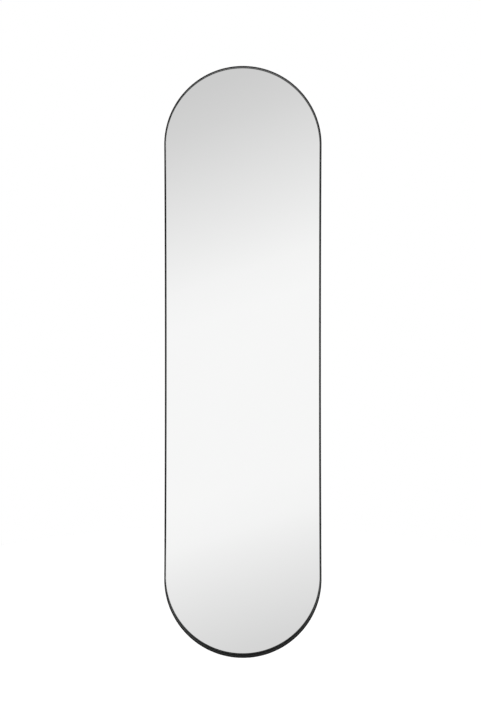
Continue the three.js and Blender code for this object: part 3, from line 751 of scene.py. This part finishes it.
fit = Sizes(seat=0.3, play=0.3, overrun=1)
panel = Sizes(half_width=159.5, frame_depth=30, recess=7.3, pane=4, tape=1, board=5)
slide = Sizes(length=300, height=45, depth=12.7, sheet=1, bend=0.65, spacing=600)
ball = Sizes(diameter=3.5, gap=0.3, row_depth=5, row_step=3.8, per_row=6)
race = Sizes(outer_lip=30, middle_turn=250, middle_lip=50, inner_turn=290, inner_lip=235)  # in degrees
cage = Sizes(sheet=0.7, length=140, rim=0.5, end=8, web_gap=0.3, middle_gap=0.7, window=1.82, lean=20)
stop = Sizes(thickness=4, height=32, depth=5.4, corner=2)
access = Sizes(radius=5, from_middle=110)
slot = Sizes(width=5, length=12, from_middle=45)
pivot = Sizes(from_edge=16, behind_frame=1, swing_gap=1.5, eye=7.5)
bolt = Sizes(radius=3, head=5, rise=4, ease=0.8, past_nut=2, socket=4, socket_depth=2.4, pitch=1, run_out=1)
nut = Sizes(radius=5.5, height=5, chamfer=0.5, bore_chamfer=0.4, flat_share=0.88)
washer = Sizes(radius=7, thickness=1.2)
bush = Sizes(wall=1.4, flange_radius=6.4, flange=1.2, ease=0.3)
bracket = Sizes(sheet=2.5, bend=3, height=42, left=15, right=9, lap=1, holes=(17, 33))
post = Sizes(width=38, depth=12, sheet=2, bend=3, from_pivot=12, past_slide=22, screw=9)
cap = Sizes(thickness=3, plug=9, plug_wall=2, corner=1.5)
arm = Sizes(sheet=3, bend=4, width=30, height=36, lift=1.5, past_bolt=4, lap=1)
rest = Sizes(sheet=2, bend=3, width=24, foot=22, head=22, from_rear=6, screw=9)
pad = Sizes(radius=8, thickness=6, ease=1, sole_ease=0.4, dish=0.4, rim_share=0.55, dish_share=0.5)
stile = Sizes(thickness=2, width=24, past=30, corner=4)
plate = Sizes(thickness=2, margin=20, web=80, corner=6, inner=20, hole=2.75, inset=9, from_middle=180)
sink = Sizes(head=4, land=0.1)
TURNED_EASE = 0.2
RACE_STEPS, ROUND_STEPS = 18, 40

# Radius of each kind of hole, from its screw's shank
POST_HOLE, LEAF_HOLE, REST_HOLE, SLIDE_HOLE = (shank + fit.play for shank in (2.5, 2, 2, 2.5))

SLIDE_BACK = plate.thickness + fit.seat
SLIDE_FACE = SLIDE_BACK + slide.depth
POST_BACK = SLIDE_FACE + fit.seat
ARM_BACK = POST_BACK + post.sheet + fit.seat
PIVOT_X = panel.half_width - pivot.from_edge
PIVOT_Z = SLIDE_FACE + pivot.swing_gap + math.hypot(pivot.from_edge, pivot.behind_frame)
FRAME_FACE = PIVOT_Z + pivot.behind_frame + panel.frame_depth
BOARD_BACK = FRAME_FACE - panel.recess - panel.pane - panel.tape - panel.board - 2 * fit.seat
STILE_BACK = BOARD_BACK - fit.seat - stile.thickness
LEAF_BACK = STILE_BACK - fit.seat - bracket.sheet
ARM_TOP = arm.height / 2 + arm.sheet
WASHER_LOW = ARM_TOP + fit.seat
BRACKET_LOW = WASHER_LOW + washer.thickness + fit.seat
FLANGE_LOW = BRACKET_LOW + bracket.sheet + fit.seat
HEAD_LOW = FLANGE_LOW + bush.flange + fit.seat
NUT_TOP = arm.height / 2 - fit.seat
BORE = bolt.radius + fit.play
AT_PIVOT = (PIVOT_X, 0, PIVOT_Z)
LEAF_X = PIVOT_X + (bracket.right - bracket.left) / 2
POST_X = PIVOT_X - post.from_pivot - post.width / 2
POST_HEIGHT = slide.spacing + slide.height + 2 * post.past_slide
RUNG_HEIGHTS = (slide.spacing / 2, -slide.spacing / 2)
SLIDE_FRONT = slide.length / 2
RUNNER = slide.length - stop.thickness - fit.seat
RACE = ball.diameter / 2 + ball.gap + slide.sheet / 2
OUTER_BALL = Vector((ball.row_depth, slide.height / 2 - slide.sheet / 2 - RACE))
INNER_BALL = OUTER_BALL + Vector((ball.row_step, -math.sqrt((2 * RACE) ** 2 - ball.row_step ** 2)))
CROSSING = math.degrees(math.atan2(*(INNER_BALL - OUTER_BALL).yx)) % 360
MIDDLE_WEB = slide.sheet + cage.web_gap + cage.sheet + cage.middle_gap + slide.sheet / 2
INNER_WEB = slide.depth - slide.sheet / 2


def mirrored(half):
    """A line and its mirror image below the X axis, as one line from the lowest point to the highest."""
    return [(x, -y) for x, y in half[::-1]] + list(half)


def sheet_outline(line, thickness):
    """The outline of a bent sheet, from the middle line of its section."""
    line = [Vector(point) for point in line]
    low, high = [], []
    for i, here in enumerate(line):
        steps = [line[j + 1] - line[j] for j in (i - 1, i) if 0 <= j < len(line) - 1]
        normals = [Vector((-step.y, step.x)).normalized() for step in steps]
        mitre = (normals[0] + normals[-1]).normalized()
        reach = mitre * (thickness / 2 / mitre.dot(normals[0]))
        low.append(tuple(here - reach))
        high.append(tuple(here + reach))
    return low + high[::-1]


def prism(outline, axis, length, shift=(0, 0, 0)):
    """An outline run back along X, down along Y or out along Z, as in the solids."""
    run = {
        "x": lambda u, v, d: (-d, v, u),
        "y": lambda u, v, d: (u, -d, v),
        "z": lambda u, v, d: (u, v, d),
    }[axis]
    rings = [[Vector(run(u, v, d)) + Vector(shift) for u, v in outline] for d in (0, length)]
    return draft(lambda work: loft(work, rings))


def rod(radius, axis, low, high, across, along):
    """A round tool from one place to another on an axis along Y or Z."""
    shift = (0, high, 0) if axis == "y" else (0, 0, low)
    return prism(circle((across, along), radius, ROUND_STEPS), axis, high - low, shift)


def drill(radius, axis, low, high, across, along):
    """A rod that runs past both faces of the sheet that it pierces."""
    return rod(radius, axis, low - fit.overrun, high + fit.overrun, across, along)


def lathe(profile):
    """A closed profile of (radius, height), turned about the Y axis."""
    thing = draft(lambda work: revolve(work, profile, TURNED_STEPS))
    thing.data.transform(Matrix.Rotation(-math.pi / 2, 4, "X"))
    return thing


def crown(radius, top, ease):
    """The rounded top edge of a turned piece."""
    return arc((radius - ease, top - ease), ease, 0, 90, 6)


def settle(thing, node, shift, ease, group=SMOOTH_SHEET, finishes=None):
    """Turns a drawn piece into the scene's frame, in place of its node."""
    thing.data.transform(TO_SCENE @ Matrix.Translation(shift))
    thing.name = thing.data.name = node + "_formed"
    soften(thing, ease * MM, group)
    dress(thing, node, finishes)


def settle_pair(thing, kind, shift=(0, 0, 0), **options):
    """One piece of the upper slide or swivel, and its copy on the lower one."""
    pieces = (thing, add_object("draft", thing.data.copy()))
    for piece, rung, height in zip(pieces, RUNGS, RUNG_HEIGHTS):
        settle(piece, f"{rung}_{kind}", (shift[0], height, shift[2]), **options)


# Slide members and ball cages


def race_arc(centre, start, end):
    return arc(tuple(centre), RACE, start, end, RACE_STEPS)


def web_into(web, dish, angle):
    """A web from the middle of a section, bent to run into a raceway along the raceway's own tangent."""
    x, y = dish[0]
    corner = (web, y + (web - x) * math.tan(math.radians(angle + 90)), slide.bend)
    return fillets([(web, 0, 0), corner, (x, y, 0)])[1:-1]


def outer_section():
    flange = OUTER_BALL.y + RACE
    half = slide.sheet / 2
    web = fillets([(half, 0, 0), (half, flange, slide.bend), (OUTER_BALL.x, flange, 0)])
    return mirrored([*web[1:-1], *race_arc(OUTER_BALL, 90, race.outer_lip)])


def middle_section():
    dish = race_arc(OUTER_BALL, race.middle_turn, CROSSING)
    dome = race_arc(INNER_BALL, CROSSING - 180, race.middle_lip)
    return mirrored([*web_into(MIDDLE_WEB, dish, race.middle_turn), *dish, *dome[1:]])


def inner_section():
    dish = race_arc(INNER_BALL, race.inner_turn, race.inner_lip)
    return mirrored([*web_into(INNER_WEB, dish, race.inner_turn), *dish])


def cage_section(web, row, slope):
    end = row.x + ball.diameter / 2 + cage.rim
    heights = [row.y + (x - row.x) * slope for x in (web, end)]
    return mirrored(fillets([(web, 0, 0), (web, heights[0], slide.bend), (end, heights[1], 0)])[1:])


def runner(section, sheet, length):
    return prism(sheet_outline(section, sheet), "x", length)


def pair_of_tools(make, from_middle):
    return [make(x - SLIDE_FRONT) for x in (-from_middle, from_middle)]


def slot_tool(x, depth):
    end = (slot.length - slot.width) / 2
    outline = arc((0, end), slot.width / 2, 0, 180, 12) + arc((0, -end), slot.width / 2, 180, 360, 12)
    return prism(outline, "z", 2 * slide.sheet, (x, 0, depth - slide.sheet))


def sink_tool(x):
    """A tool for a screw's hole and its countersink."""
    wide, past_face = 2 * (sink.head + fit.play) - SLIDE_HOLE, 2 * slide.sheet
    lip = [(SLIDE_HOLE, -slide.sheet), (SLIDE_HOLE, sink.land), (wide, past_face)]
    tool = lathe([(0, -slide.sheet), *lip, (0, past_face)])
    tool.data.transform(Matrix.Translation((x, 0, 0)) @ Matrix.Rotation(math.pi / 2, 4, "X"))
    return tool


def web_tool(radius, web, x):
    return rod(radius, "z", web - slide.sheet, web + slide.sheet, x, 0)


def build_members():
    """The outer, middle and inner member of each slide, rolled from sheet with true raceways."""
    outer = carve(
        runner(outer_section(), slide.sheet, slide.length),
        *pair_of_tools(sink_tool, access.from_middle),
        *pair_of_tools(lambda x: slot_tool(x, slide.sheet / 2), slot.from_middle),
    )
    middle = carve(
        runner(middle_section(), slide.sheet, RUNNER),
        *pair_of_tools(lambda x: web_tool(access.radius, MIDDLE_WEB, x), access.from_middle),
    )
    inner = carve(
        runner(inner_section(), slide.sheet, RUNNER),
        *[web_tool(POST_HOLE, INNER_WEB, POST_X + x - SLIDE_FRONT) for x in (-post.screw, post.screw)],
        web_tool(REST_HOLE, INNER_WEB, -RUNNER + rest.from_rear + rest.screw),
        *pair_of_tools(lambda x: slot_tool(x, INNER_WEB), slot.from_middle),
    )
    for kind, member in (("outer", outer), ("middle", middle), ("inner", inner)):
        settle_pair(member, kind + "_member", (SLIDE_FRONT, 0, SLIDE_BACK), ease=0.15)


def build_cage(kind, web, row, slope):
    """A punched sheet cage with a window round each ball, and the balls in it."""
    pitch = (cage.length - 2 * cage.end) / (ball.per_row - 1)
    radius = ball.diameter / 2
    spots = [(-cage.end - i * pitch, side * row.y, row.x) for i in range(ball.per_row) for side in (-1, 1)]
    windows = [rod(cage.window, "y", y - radius, y + radius, x, z) for x, y, z in spots]
    thing = carve(runner(cage_section(web, row, slope), cage.sheet, cage.length), *windows)

    def add_balls(work):
        for spot in spots:
            place = Matrix.Translation(spot)
            made = bmesh.ops.create_uvsphere(work, u_segments=20, v_segments=14, radius=radius, matrix=place)
            for face in {face for vertex in made["verts"] for face in vertex.link_faces}:
                face.material_index = 1

    rework(thing.data, add_balls)
    place = (SLIDE_FRONT - (RUNNER - cage.length) / 2, 0, SLIDE_BACK)
    settle_pair(thing, kind, place, ease=0.08, finishes=[FINISHES["cage_steel"], FINISHES["bright_steel"]])


def build_cages():
    outer_web = slide.sheet + cage.web_gap + cage.sheet / 2
    inner_web = MIDDLE_WEB + slide.sheet / 2 + cage.web_gap + cage.sheet / 2
    build_cage("outer_ball_cage", outer_web, OUTER_BALL, 0)
    build_cage("inner_ball_cage", inner_web, INNER_BALL, math.tan(math.radians(cage.lean)))


def build_stops():
    low = slide.sheet + fit.seat
    block = box_outline(low, low + stop.depth, -stop.height / 2, stop.height / 2, stop.corner)
    thing = prism(block, "x", stop.thickness)
    settle_pair(thing, "rear_stop", (stop.thickness - SLIDE_FRONT, 0, SLIDE_BACK), ease=0.4)


# Plates, post and brackets


def build_base_plate():
    half, bar_half = slide.length / 2, slide.height / 2 + plate.margin
    high, low = slide.spacing / 2 + bar_half, slide.spacing / 2 - bar_half
    quarter = [(plate.web / 2, low, plate.inner), (half, low, plate.corner), (half, high, plate.corner)]

    def flipped(across, up):
        return [(x * across, y * up, radius) for x, y, radius in quarter]

    corners = [*quarter, *flipped(-1, 1)[::-1], *flipped(-1, -1), *flipped(1, -1)[::-1]]
    edge, rise = half - plate.inset, bar_half - plate.inset
    heights = [y + side * rise for y in RUNG_HEIGHTS for side in (-1, 1)]
    places = [(x, y, plate.hole) for x in (-edge, edge) for y in heights]
    places += [(side * access.from_middle, y, SLIDE_HOLE) for side in (-1, 1) for y in RUNG_HEIGHTS]
    places += [(0, y, plate.hole) for y in (-plate.from_middle, plate.from_middle)]
    flat_piece("base_plate", fillets(corners, closed=True, steps=14), places)


def build_stile():
    low, high = RUNG_HEIGHTS[1] - stile.past, RUNG_HEIGHTS[0] + BRACKET_LOW + bracket.height + stile.past
    outline = box_outline(LEAF_X - stile.width / 2, LEAF_X + stile.width / 2, low, high, stile.corner)
    places = [(LEAF_X, y + BRACKET_LOW + rise, LEAF_HOLE) for y in RUNG_HEIGHTS for rise in bracket.holes]
    flat_piece("hinge_stile", outline, places)


def flat_piece(node, outline, places):
    """A flat plate with eased edges in place of a node, from an outline and round holes in millimetres."""
    low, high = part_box(node)
    holes = [circle((x, y), radius, ROUND_STEPS) for x, y, radius in places]
    outline, *holes = [[(x * MM, y * MM) for x, y in points] for points in (outline, *holes)]
    thing = add_object(node + "_formed", plate_mesh(node, outline, holes, low.y, high.y))
    smooth(thing.data, 40)
    even_shading(thing)
    dress(thing, node)


def build_post():
    side, web = (post.width - post.sheet) / 2, post.sheet / 2
    bends = [(-side, web, post.bend), (side, web, post.bend)]
    line = fillets([(-side, post.depth, 0), *bends, (side, post.depth, 0)])
    channel = prism(sheet_outline(line, post.sheet), "y", POST_HEIGHT, (0, POST_HEIGHT / 2, 0))
    drills = [
        drill(POST_HOLE, "z", 0, post.sheet, x, y) for x in (-post.screw, post.screw) for y in RUNG_HEIGHTS
    ]
    settle(carve(channel, *drills), "carriage_post", (POST_X, 0, POST_BACK), ease=0.3)


def build_caps():
    inside, low = post.width / 2 - post.sheet - fit.seat, post.sheet + fit.seat
    hollow, overlap = inside - cap.plug_wall, fit.seat + cap.thickness / 2
    lid = box_outline(-post.width / 2, post.width / 2, 0, post.depth, cap.corner)
    plug = box_outline(-inside, inside, low, post.depth, cap.corner)
    well = box_outline(-hollow, hollow, low + cap.plug_wall, post.depth - cap.plug_wall, cap.corner)
    for end, side in (("top", 1), ("bottom", -1)):
        thing = prism(lid, "y", cap.thickness, (0, cap.thickness + fit.seat, 0))
        combine(thing, "UNION", prism(plug, "y", cap.plug + overlap, (0, overlap, 0)))
        carve(thing, prism(well, "y", cap.plug + fit.overrun, (0, fit.seat, 0)))
        thing.data.transform(Matrix.Rotation(0 if side > 0 else math.pi, 4, "Z"))
        settle(thing, end + "_post_cap", (POST_X, side * POST_HEIGHT / 2, POST_BACK), ease=0.5)


def angle_piece(line, sheet, left, right, root, top, tools):
    """A bent strip whose tab narrows from its root to a round eye about the bolt."""
    strip = prism(sheet_outline(fillets(line), sheet), "x", right - left, (right, 0, 0))
    points = [Vector(point) for point in (*circle((PIVOT_X, PIVOT_Z), pivot.eye, 48), *root)]
    tongue = prism([points[i] for i in convex_hull_2d(points)], "y", sheet, (0, top, 0))
    return carve(combine(strip, "UNION", tongue), *tools)


def build_arms():
    left, right = POST_X - arm.width / 2, POST_X + arm.width / 2
    middle, tab = ARM_BACK + arm.sheet / 2, ARM_TOP - arm.sheet / 2
    root_low, root_high = POST_BACK + post.depth + arm.lift, PIVOT_Z + arm.past_bolt
    line = [(middle, -arm.height / 2, 0), (middle, tab, arm.bend), (root_high, tab, 0)]
    root = [(right - arm.lap, root_low), (right - arm.lap, root_high)]
    tools = [drill(BORE, "y", ARM_TOP - arm.sheet, ARM_TOP, PIVOT_X, PIVOT_Z)]
    for x in (-post.screw, post.screw):
        tools.append(drill(POST_HOLE, "z", ARM_BACK, ARM_BACK + arm.sheet, POST_X + x, 0))
    settle_pair(angle_piece(line, arm.sheet, left, right, root, ARM_TOP, tools), "pivot_arm", ease=0.3)


def build_brackets():
    left, right = PIVOT_X - bracket.left, PIVOT_X + bracket.right
    middle, tab = LEAF_BACK + bracket.sheet / 2, BRACKET_LOW + bracket.sheet / 2
    tab_end, top = LEAF_BACK - bracket.bend, BRACKET_LOW + bracket.sheet
    line = [(middle, BRACKET_LOW + bracket.height, 0), (middle, tab, bracket.bend), (tab_end, tab, 0)]
    root = [(x, tab_end + bracket.lap) for x in (left, right)]
    tools = [drill(BORE + bush.wall + fit.play, "y", BRACKET_LOW, top, PIVOT_X, PIVOT_Z)]
    for rise in bracket.holes:
        tools.append(drill(LEAF_HOLE, "z", LEAF_BACK, LEAF_BACK + bracket.sheet, LEAF_X, BRACKET_LOW + rise))
    settle_pair(angle_piece(line, bracket.sheet, left, right, root, top, tools), "pivot_bracket", ease=0.3)


def build_rests():
    foot = SLIDE_FRONT - RUNNER + rest.from_rear
    riser = foot + rest.foot - rest.sheet / 2
    rest_top = BOARD_BACK - fit.seat - pad.thickness - fit.seat
    foot_z, head_z = POST_BACK + rest.sheet / 2, rest_top - rest.sheet / 2
    bends = [(riser, foot_z, rest.bend), (riser, head_z, rest.bend)]
    line = fillets([(foot, foot_z, 0), *bends, (riser + rest.head, head_z, 0)])
    strip = prism(sheet_outline(line, rest.sheet), "y", rest.width, (0, rest.width / 2, 0))
    hole = drill(REST_HOLE, "z", POST_BACK, POST_BACK + rest.sheet, foot + rest.screw, 0)
    settle_pair(carve(strip, hole), "rest_bracket", ease=0.3)
    sole = [(0, 0), (pad.radius - pad.sole_ease, 0), (pad.radius, pad.sole_ease)]
    floor = pad.thickness - pad.dish
    dish = [(pad.radius * pad.rim_share, pad.thickness), (pad.radius * pad.dish_share, floor), (0, floor)]
    thing = lathe([*sole, *crown(pad.radius, pad.thickness, pad.ease), *dish])
    thing.data.transform(Matrix.Rotation(math.pi / 2, 4, "X"))
    head = foot + rest.foot - rest.sheet + rest.head / 2
    settle_pair(thing, "rest_pad", (head, 0, rest_top + fit.seat), ease=0.1, group=SMOOTH_TURNED)


# Swivel bolts


def rim(radius, low, high, low_ease, high_ease):
    """The edge of a disc, eased below and above."""
    below, above = radius - low_ease, radius - high_ease
    return [(below, low), (radius, low + low_ease), (radius, high - high_ease), (above, high)]


def bored(outside, low, high):
    """A turned ring with an eased bore for the bolt, from the points of its outside, upwards."""
    eased = BORE + TURNED_EASE
    bore = [(eased, high), (BORE, high - TURNED_EASE), (BORE, low + TURNED_EASE), (eased, low)]
    return lathe([bore[-1], *outside, *bore])


def build_bolts():
    """The shoulder bolts, each with its socket head and thread."""
    tip, top = NUT_TOP - nut.height - bolt.past_nut, HEAD_LOW + bolt.rise
    threads = thread_profile(bolt.radius, bolt.pitch, NUT_TOP + bolt.run_out, tip)
    shoulder = [(bolt.radius, NUT_TOP + bolt.run_out + TURNED_EASE), (bolt.radius, HEAD_LOW)]
    collar = [(bolt.head - TURNED_EASE, HEAD_LOW), (bolt.head, HEAD_LOW + TURNED_EASE)]
    head = [*collar, *crown(bolt.head, top, bolt.ease), (0, top)]
    thing = lathe([(0, tip), *threads[::-1], *shoulder, *head])
    hexagon = circle((0, 0), bolt.socket / math.sqrt(3), 6)
    carve(thing, prism(hexagon, "y", bolt.socket_depth + fit.overrun, (0, top + fit.overrun, 0)))
    settle_pair(thing, "pivot_bolt", AT_PIVOT, ease=0.08, group=SMOOTH_TURNED)


def build_nuts():
    """The hexagon nuts, chamfered outside and at the bore."""
    low, high, flat = NUT_TOP - nut.height, NUT_TOP, nut.radius * nut.flat_share
    shoulder = [(nut.radius, low + nut.chamfer), (nut.radius, high - nut.chamfer)]
    cone = lathe([(0, low), (flat, low), *shoulder, (flat, high), (0, high)])
    below, above, wide = low - fit.overrun, high + fit.overrun, BORE + nut.bore_chamfer + fit.overrun
    throat = [(BORE, low + nut.bore_chamfer), (BORE, high - nut.bore_chamfer)]
    bore = lathe([(0, below), (wide, below), *throat, (wide, above), (0, above)])
    hexagon = prism(circle((0, 0), nut.radius, 6), "y", nut.height, (0, NUT_TOP, 0))
    settle_pair(carve(combine(hexagon, "INTERSECT", cone), bore), "pivot_nut", AT_PIVOT, ease=0.06)


def build_rings():
    """The friction washers and the flanged bushes."""
    washer_top, flange_top = WASHER_LOW + washer.thickness, FLANGE_LOW + bush.flange
    outside = rim(washer.radius, WASHER_LOW, washer_top, TURNED_EASE, TURNED_EASE)
    disc = bored(outside, WASHER_LOW, washer_top)
    settle_pair(disc, "friction_washer", AT_PIVOT, ease=0.05, group=SMOOTH_TURNED)
    tube = rim(BORE + bush.wall, BRACKET_LOW, FLANGE_LOW, bush.ease, 0)[:3]
    flange = rim(bush.flange_radius, FLANGE_LOW, flange_top, TURNED_EASE, bush.ease)
    sleeve = bored([*tube, *flange], BRACKET_LOW, flange_top)
    settle_pair(sleeve, "pivot_bush", AT_PIVOT, ease=0.05, group=SMOOTH_TURNED)


for build in (
    build_ring, build_glass, build_screws, build_tab_screws, build_members, build_cages, build_stops,
    build_base_plate, build_stile, build_post, build_caps, build_arms, build_brackets, build_rests,
    build_bolts, build_nuts, build_rings,
):
    build()

for node, thing in frame["nodes"].items():
    if not thing.hide_render:
        coat(thing, [FINISHES[SLOT_OF[node]]])
        soften(thing, PLATE_EASE, SMOOTH_SHEET)


# Floor, light and camera

FLOOR_DROP, FLOOR_RADIUS, FLOOR_TONE, FLOOR_LIFT = 0.6, 2.4, 0.82, 0.34
AMBIENT = 0.62
WHITE = (1, 1, 1, 1)
LAMP_SIZE, LAMP_POWER = 1.8, 42
LAMPS = {"key": (-1.6, -2.4, 2.2), "rear": (1.8, 2.6, 1.9)}

# The painted studio that glossy faces see: a tone at each height, tilted across, with a darker arch in front
SEEN_STOPS = (
    (-1.0, 0.6), (-0.6, 0.6), (-0.455, 0.716), (-0.34, 0.966), (-0.3, 0.99), (-0.1, 0.99),
    (-0.055, 0.963), (0.135, 0.694), (0.18, 0.65), (0.6, 0.55), (1.0, 0.75),
)
SEEN_TILT, SEEN_TWIST = 0.36, 0.23
ARCH_TONE = 0.4
ARCH_INSIDE, ARCH_OUTSIDE = (0.28, 0.36), (0.5, 0.6)
ARCH_BESIDE, ARCH_ABOVE = (0.13, 0.22), (0.22, 0.32)


def build_floor():
    """A pale disc that camera rays see lifted to white. Glossy rays pass it by."""

    def disc(work):
        bmesh.ops.create_circle(work, cap_ends=True, segments=128, radius=FLOOR_RADIUS)

    floor = add_object("floor", made_mesh("floor", disc))
    floor.location.z = ring_low.z - FLOOR_DROP
    floor.visible_glossy = False
    finish = Finish("floor_pale", Roughness=0.9, Specular_IOR_Level=0.0, Emission_Color=WHITE)
    seen = finish.add("ShaderNodeLightPath").outputs["Is Camera Ray"]
    lift = finish.math("MULTIPLY", seen, FLOOR_LIFT)
    finish.feed(finish.shader, {"Base Color": (*[FLOOR_TONE] * 3, 1), "Emission Strength": lift})
    coat(floor, [finish.material])


def build_world():
    world = bpy.data.worlds.new("studio")
    world.use_nodes = True
    world.node_tree.nodes.clear()
    bpy.context.scene.world = world
    wiring = Wiring(world.node_tree)
    place = wiring.split(wiring.add("ShaderNodeTexCoord").outputs["Generated"])
    tilt = wiring.math("MULTIPLY_ADD", place["Z"], -SEEN_TWIST, -SEEN_TILT)
    level = wiring.math("MULTIPLY_ADD", place["X"], tilt, place["Z"])
    ramp = wiring.add("ShaderNodeValToRGB", {"Fac": wiring.between(level, 0, 1, -1, 1)})
    elements = ramp.color_ramp.elements
    while len(elements) > 1:
        elements.remove(elements[-1])
    for i, (height, tone) in enumerate(SEEN_STOPS):
        element = elements[0] if i == 0 else elements.new((height + 1) / 2)
        element.position = (height + 1) / 2
        element.color = (tone, tone, tone, 1)
    squares = [wiring.math("POWER", place[axis], 2) for axis in ("X", "Z")]
    spread = wiring.math("SQRT", wiring.math("ADD", *squares))
    inside, outside = wiring.between(spread, 0, 1, *ARCH_INSIDE), wiring.between(spread, 1, 0, *ARCH_OUTSIDE)
    hoop = wiring.math("MULTIPLY", inside, outside)
    beside = wiring.between(wiring.math("ABSOLUTE", place["X"]), 0, 1, *ARCH_BESIDE)
    upper = wiring.math("MAXIMUM", beside, wiring.between(place["Z"], 0, 1, *ARCH_ABOVE))
    front = wiring.math("LESS_THAN", place["Y"], 0)
    arch = wiring.math("MULTIPLY", wiring.math("MULTIPLY", hoop, upper), front)

    def background(colour, strength):
        return wiring.add("ShaderNodeBackground", {"Color": colour, "Strength": strength}).outputs[0]

    ray = wiring.add("ShaderNodeLightPath").outputs
    painted = background(ramp.outputs["Color"], wiring.between(arch, 1, ARCH_TONE, 0, 1))
    plain = background(WHITE, 1)
    seen = background(WHITE, AMBIENT)
    for kind, view in (("Is Glossy Ray", painted), ("Is Transmission Ray", plain), ("Is Camera Ray", plain)):
        seen = wiring.add("ShaderNodeMixShader", {0: ray[kind], 1: seen, 2: view}).outputs[0]
    wiring.add("ShaderNodeOutputWorld", {"Surface": seen})


def build_lamps():
    """Large soft lamps that face the middle of the mirror."""
    for name, spot in LAMPS.items():
        lamp = bpy.data.lights.new(name, "AREA")
        lamp.shape, lamp.size, lamp.energy = "DISK", LAMP_SIZE, LAMP_POWER
        thing = add_object(name, lamp)
        thing.location = spot
        thing.rotation_euler = (-Vector(spot)).to_track_quat("-Z", "Y").to_euler()


def build_camera():
    pixel = (ring_high.z - ring_low.z) / MIRROR_HEIGHT_PX
    view = PHOTO_HEIGHT * pixel
    camera = bpy.data.cameras.new("camera")
    camera.sensor_width = SENSOR
    camera.lens = SENSOR * CAMERA_DISTANCE / view
    camera.shift_x = ((PHOTO_WIDTH / 2 - MIRROR_CENTRE_PX[0]) * pixel + CAMERA_ASIDE) / view
    camera.shift_y = ((MIRROR_CENTRE_PX[1] - PHOTO_HEIGHT / 2) * pixel - CAMERA_RISE) / view
    thing = add_object("camera", camera)
    thing.location = (-CAMERA_ASIDE, ring_low.y - CAMERA_DISTANCE, CAMERA_RISE)
    thing.rotation_euler = (math.pi / 2, 0, 0)
    bpy.context.scene.camera = thing


build_floor()
build_world()
build_lamps()
build_camera()
bpy.context.scene.view_settings.view_transform = "Standard"
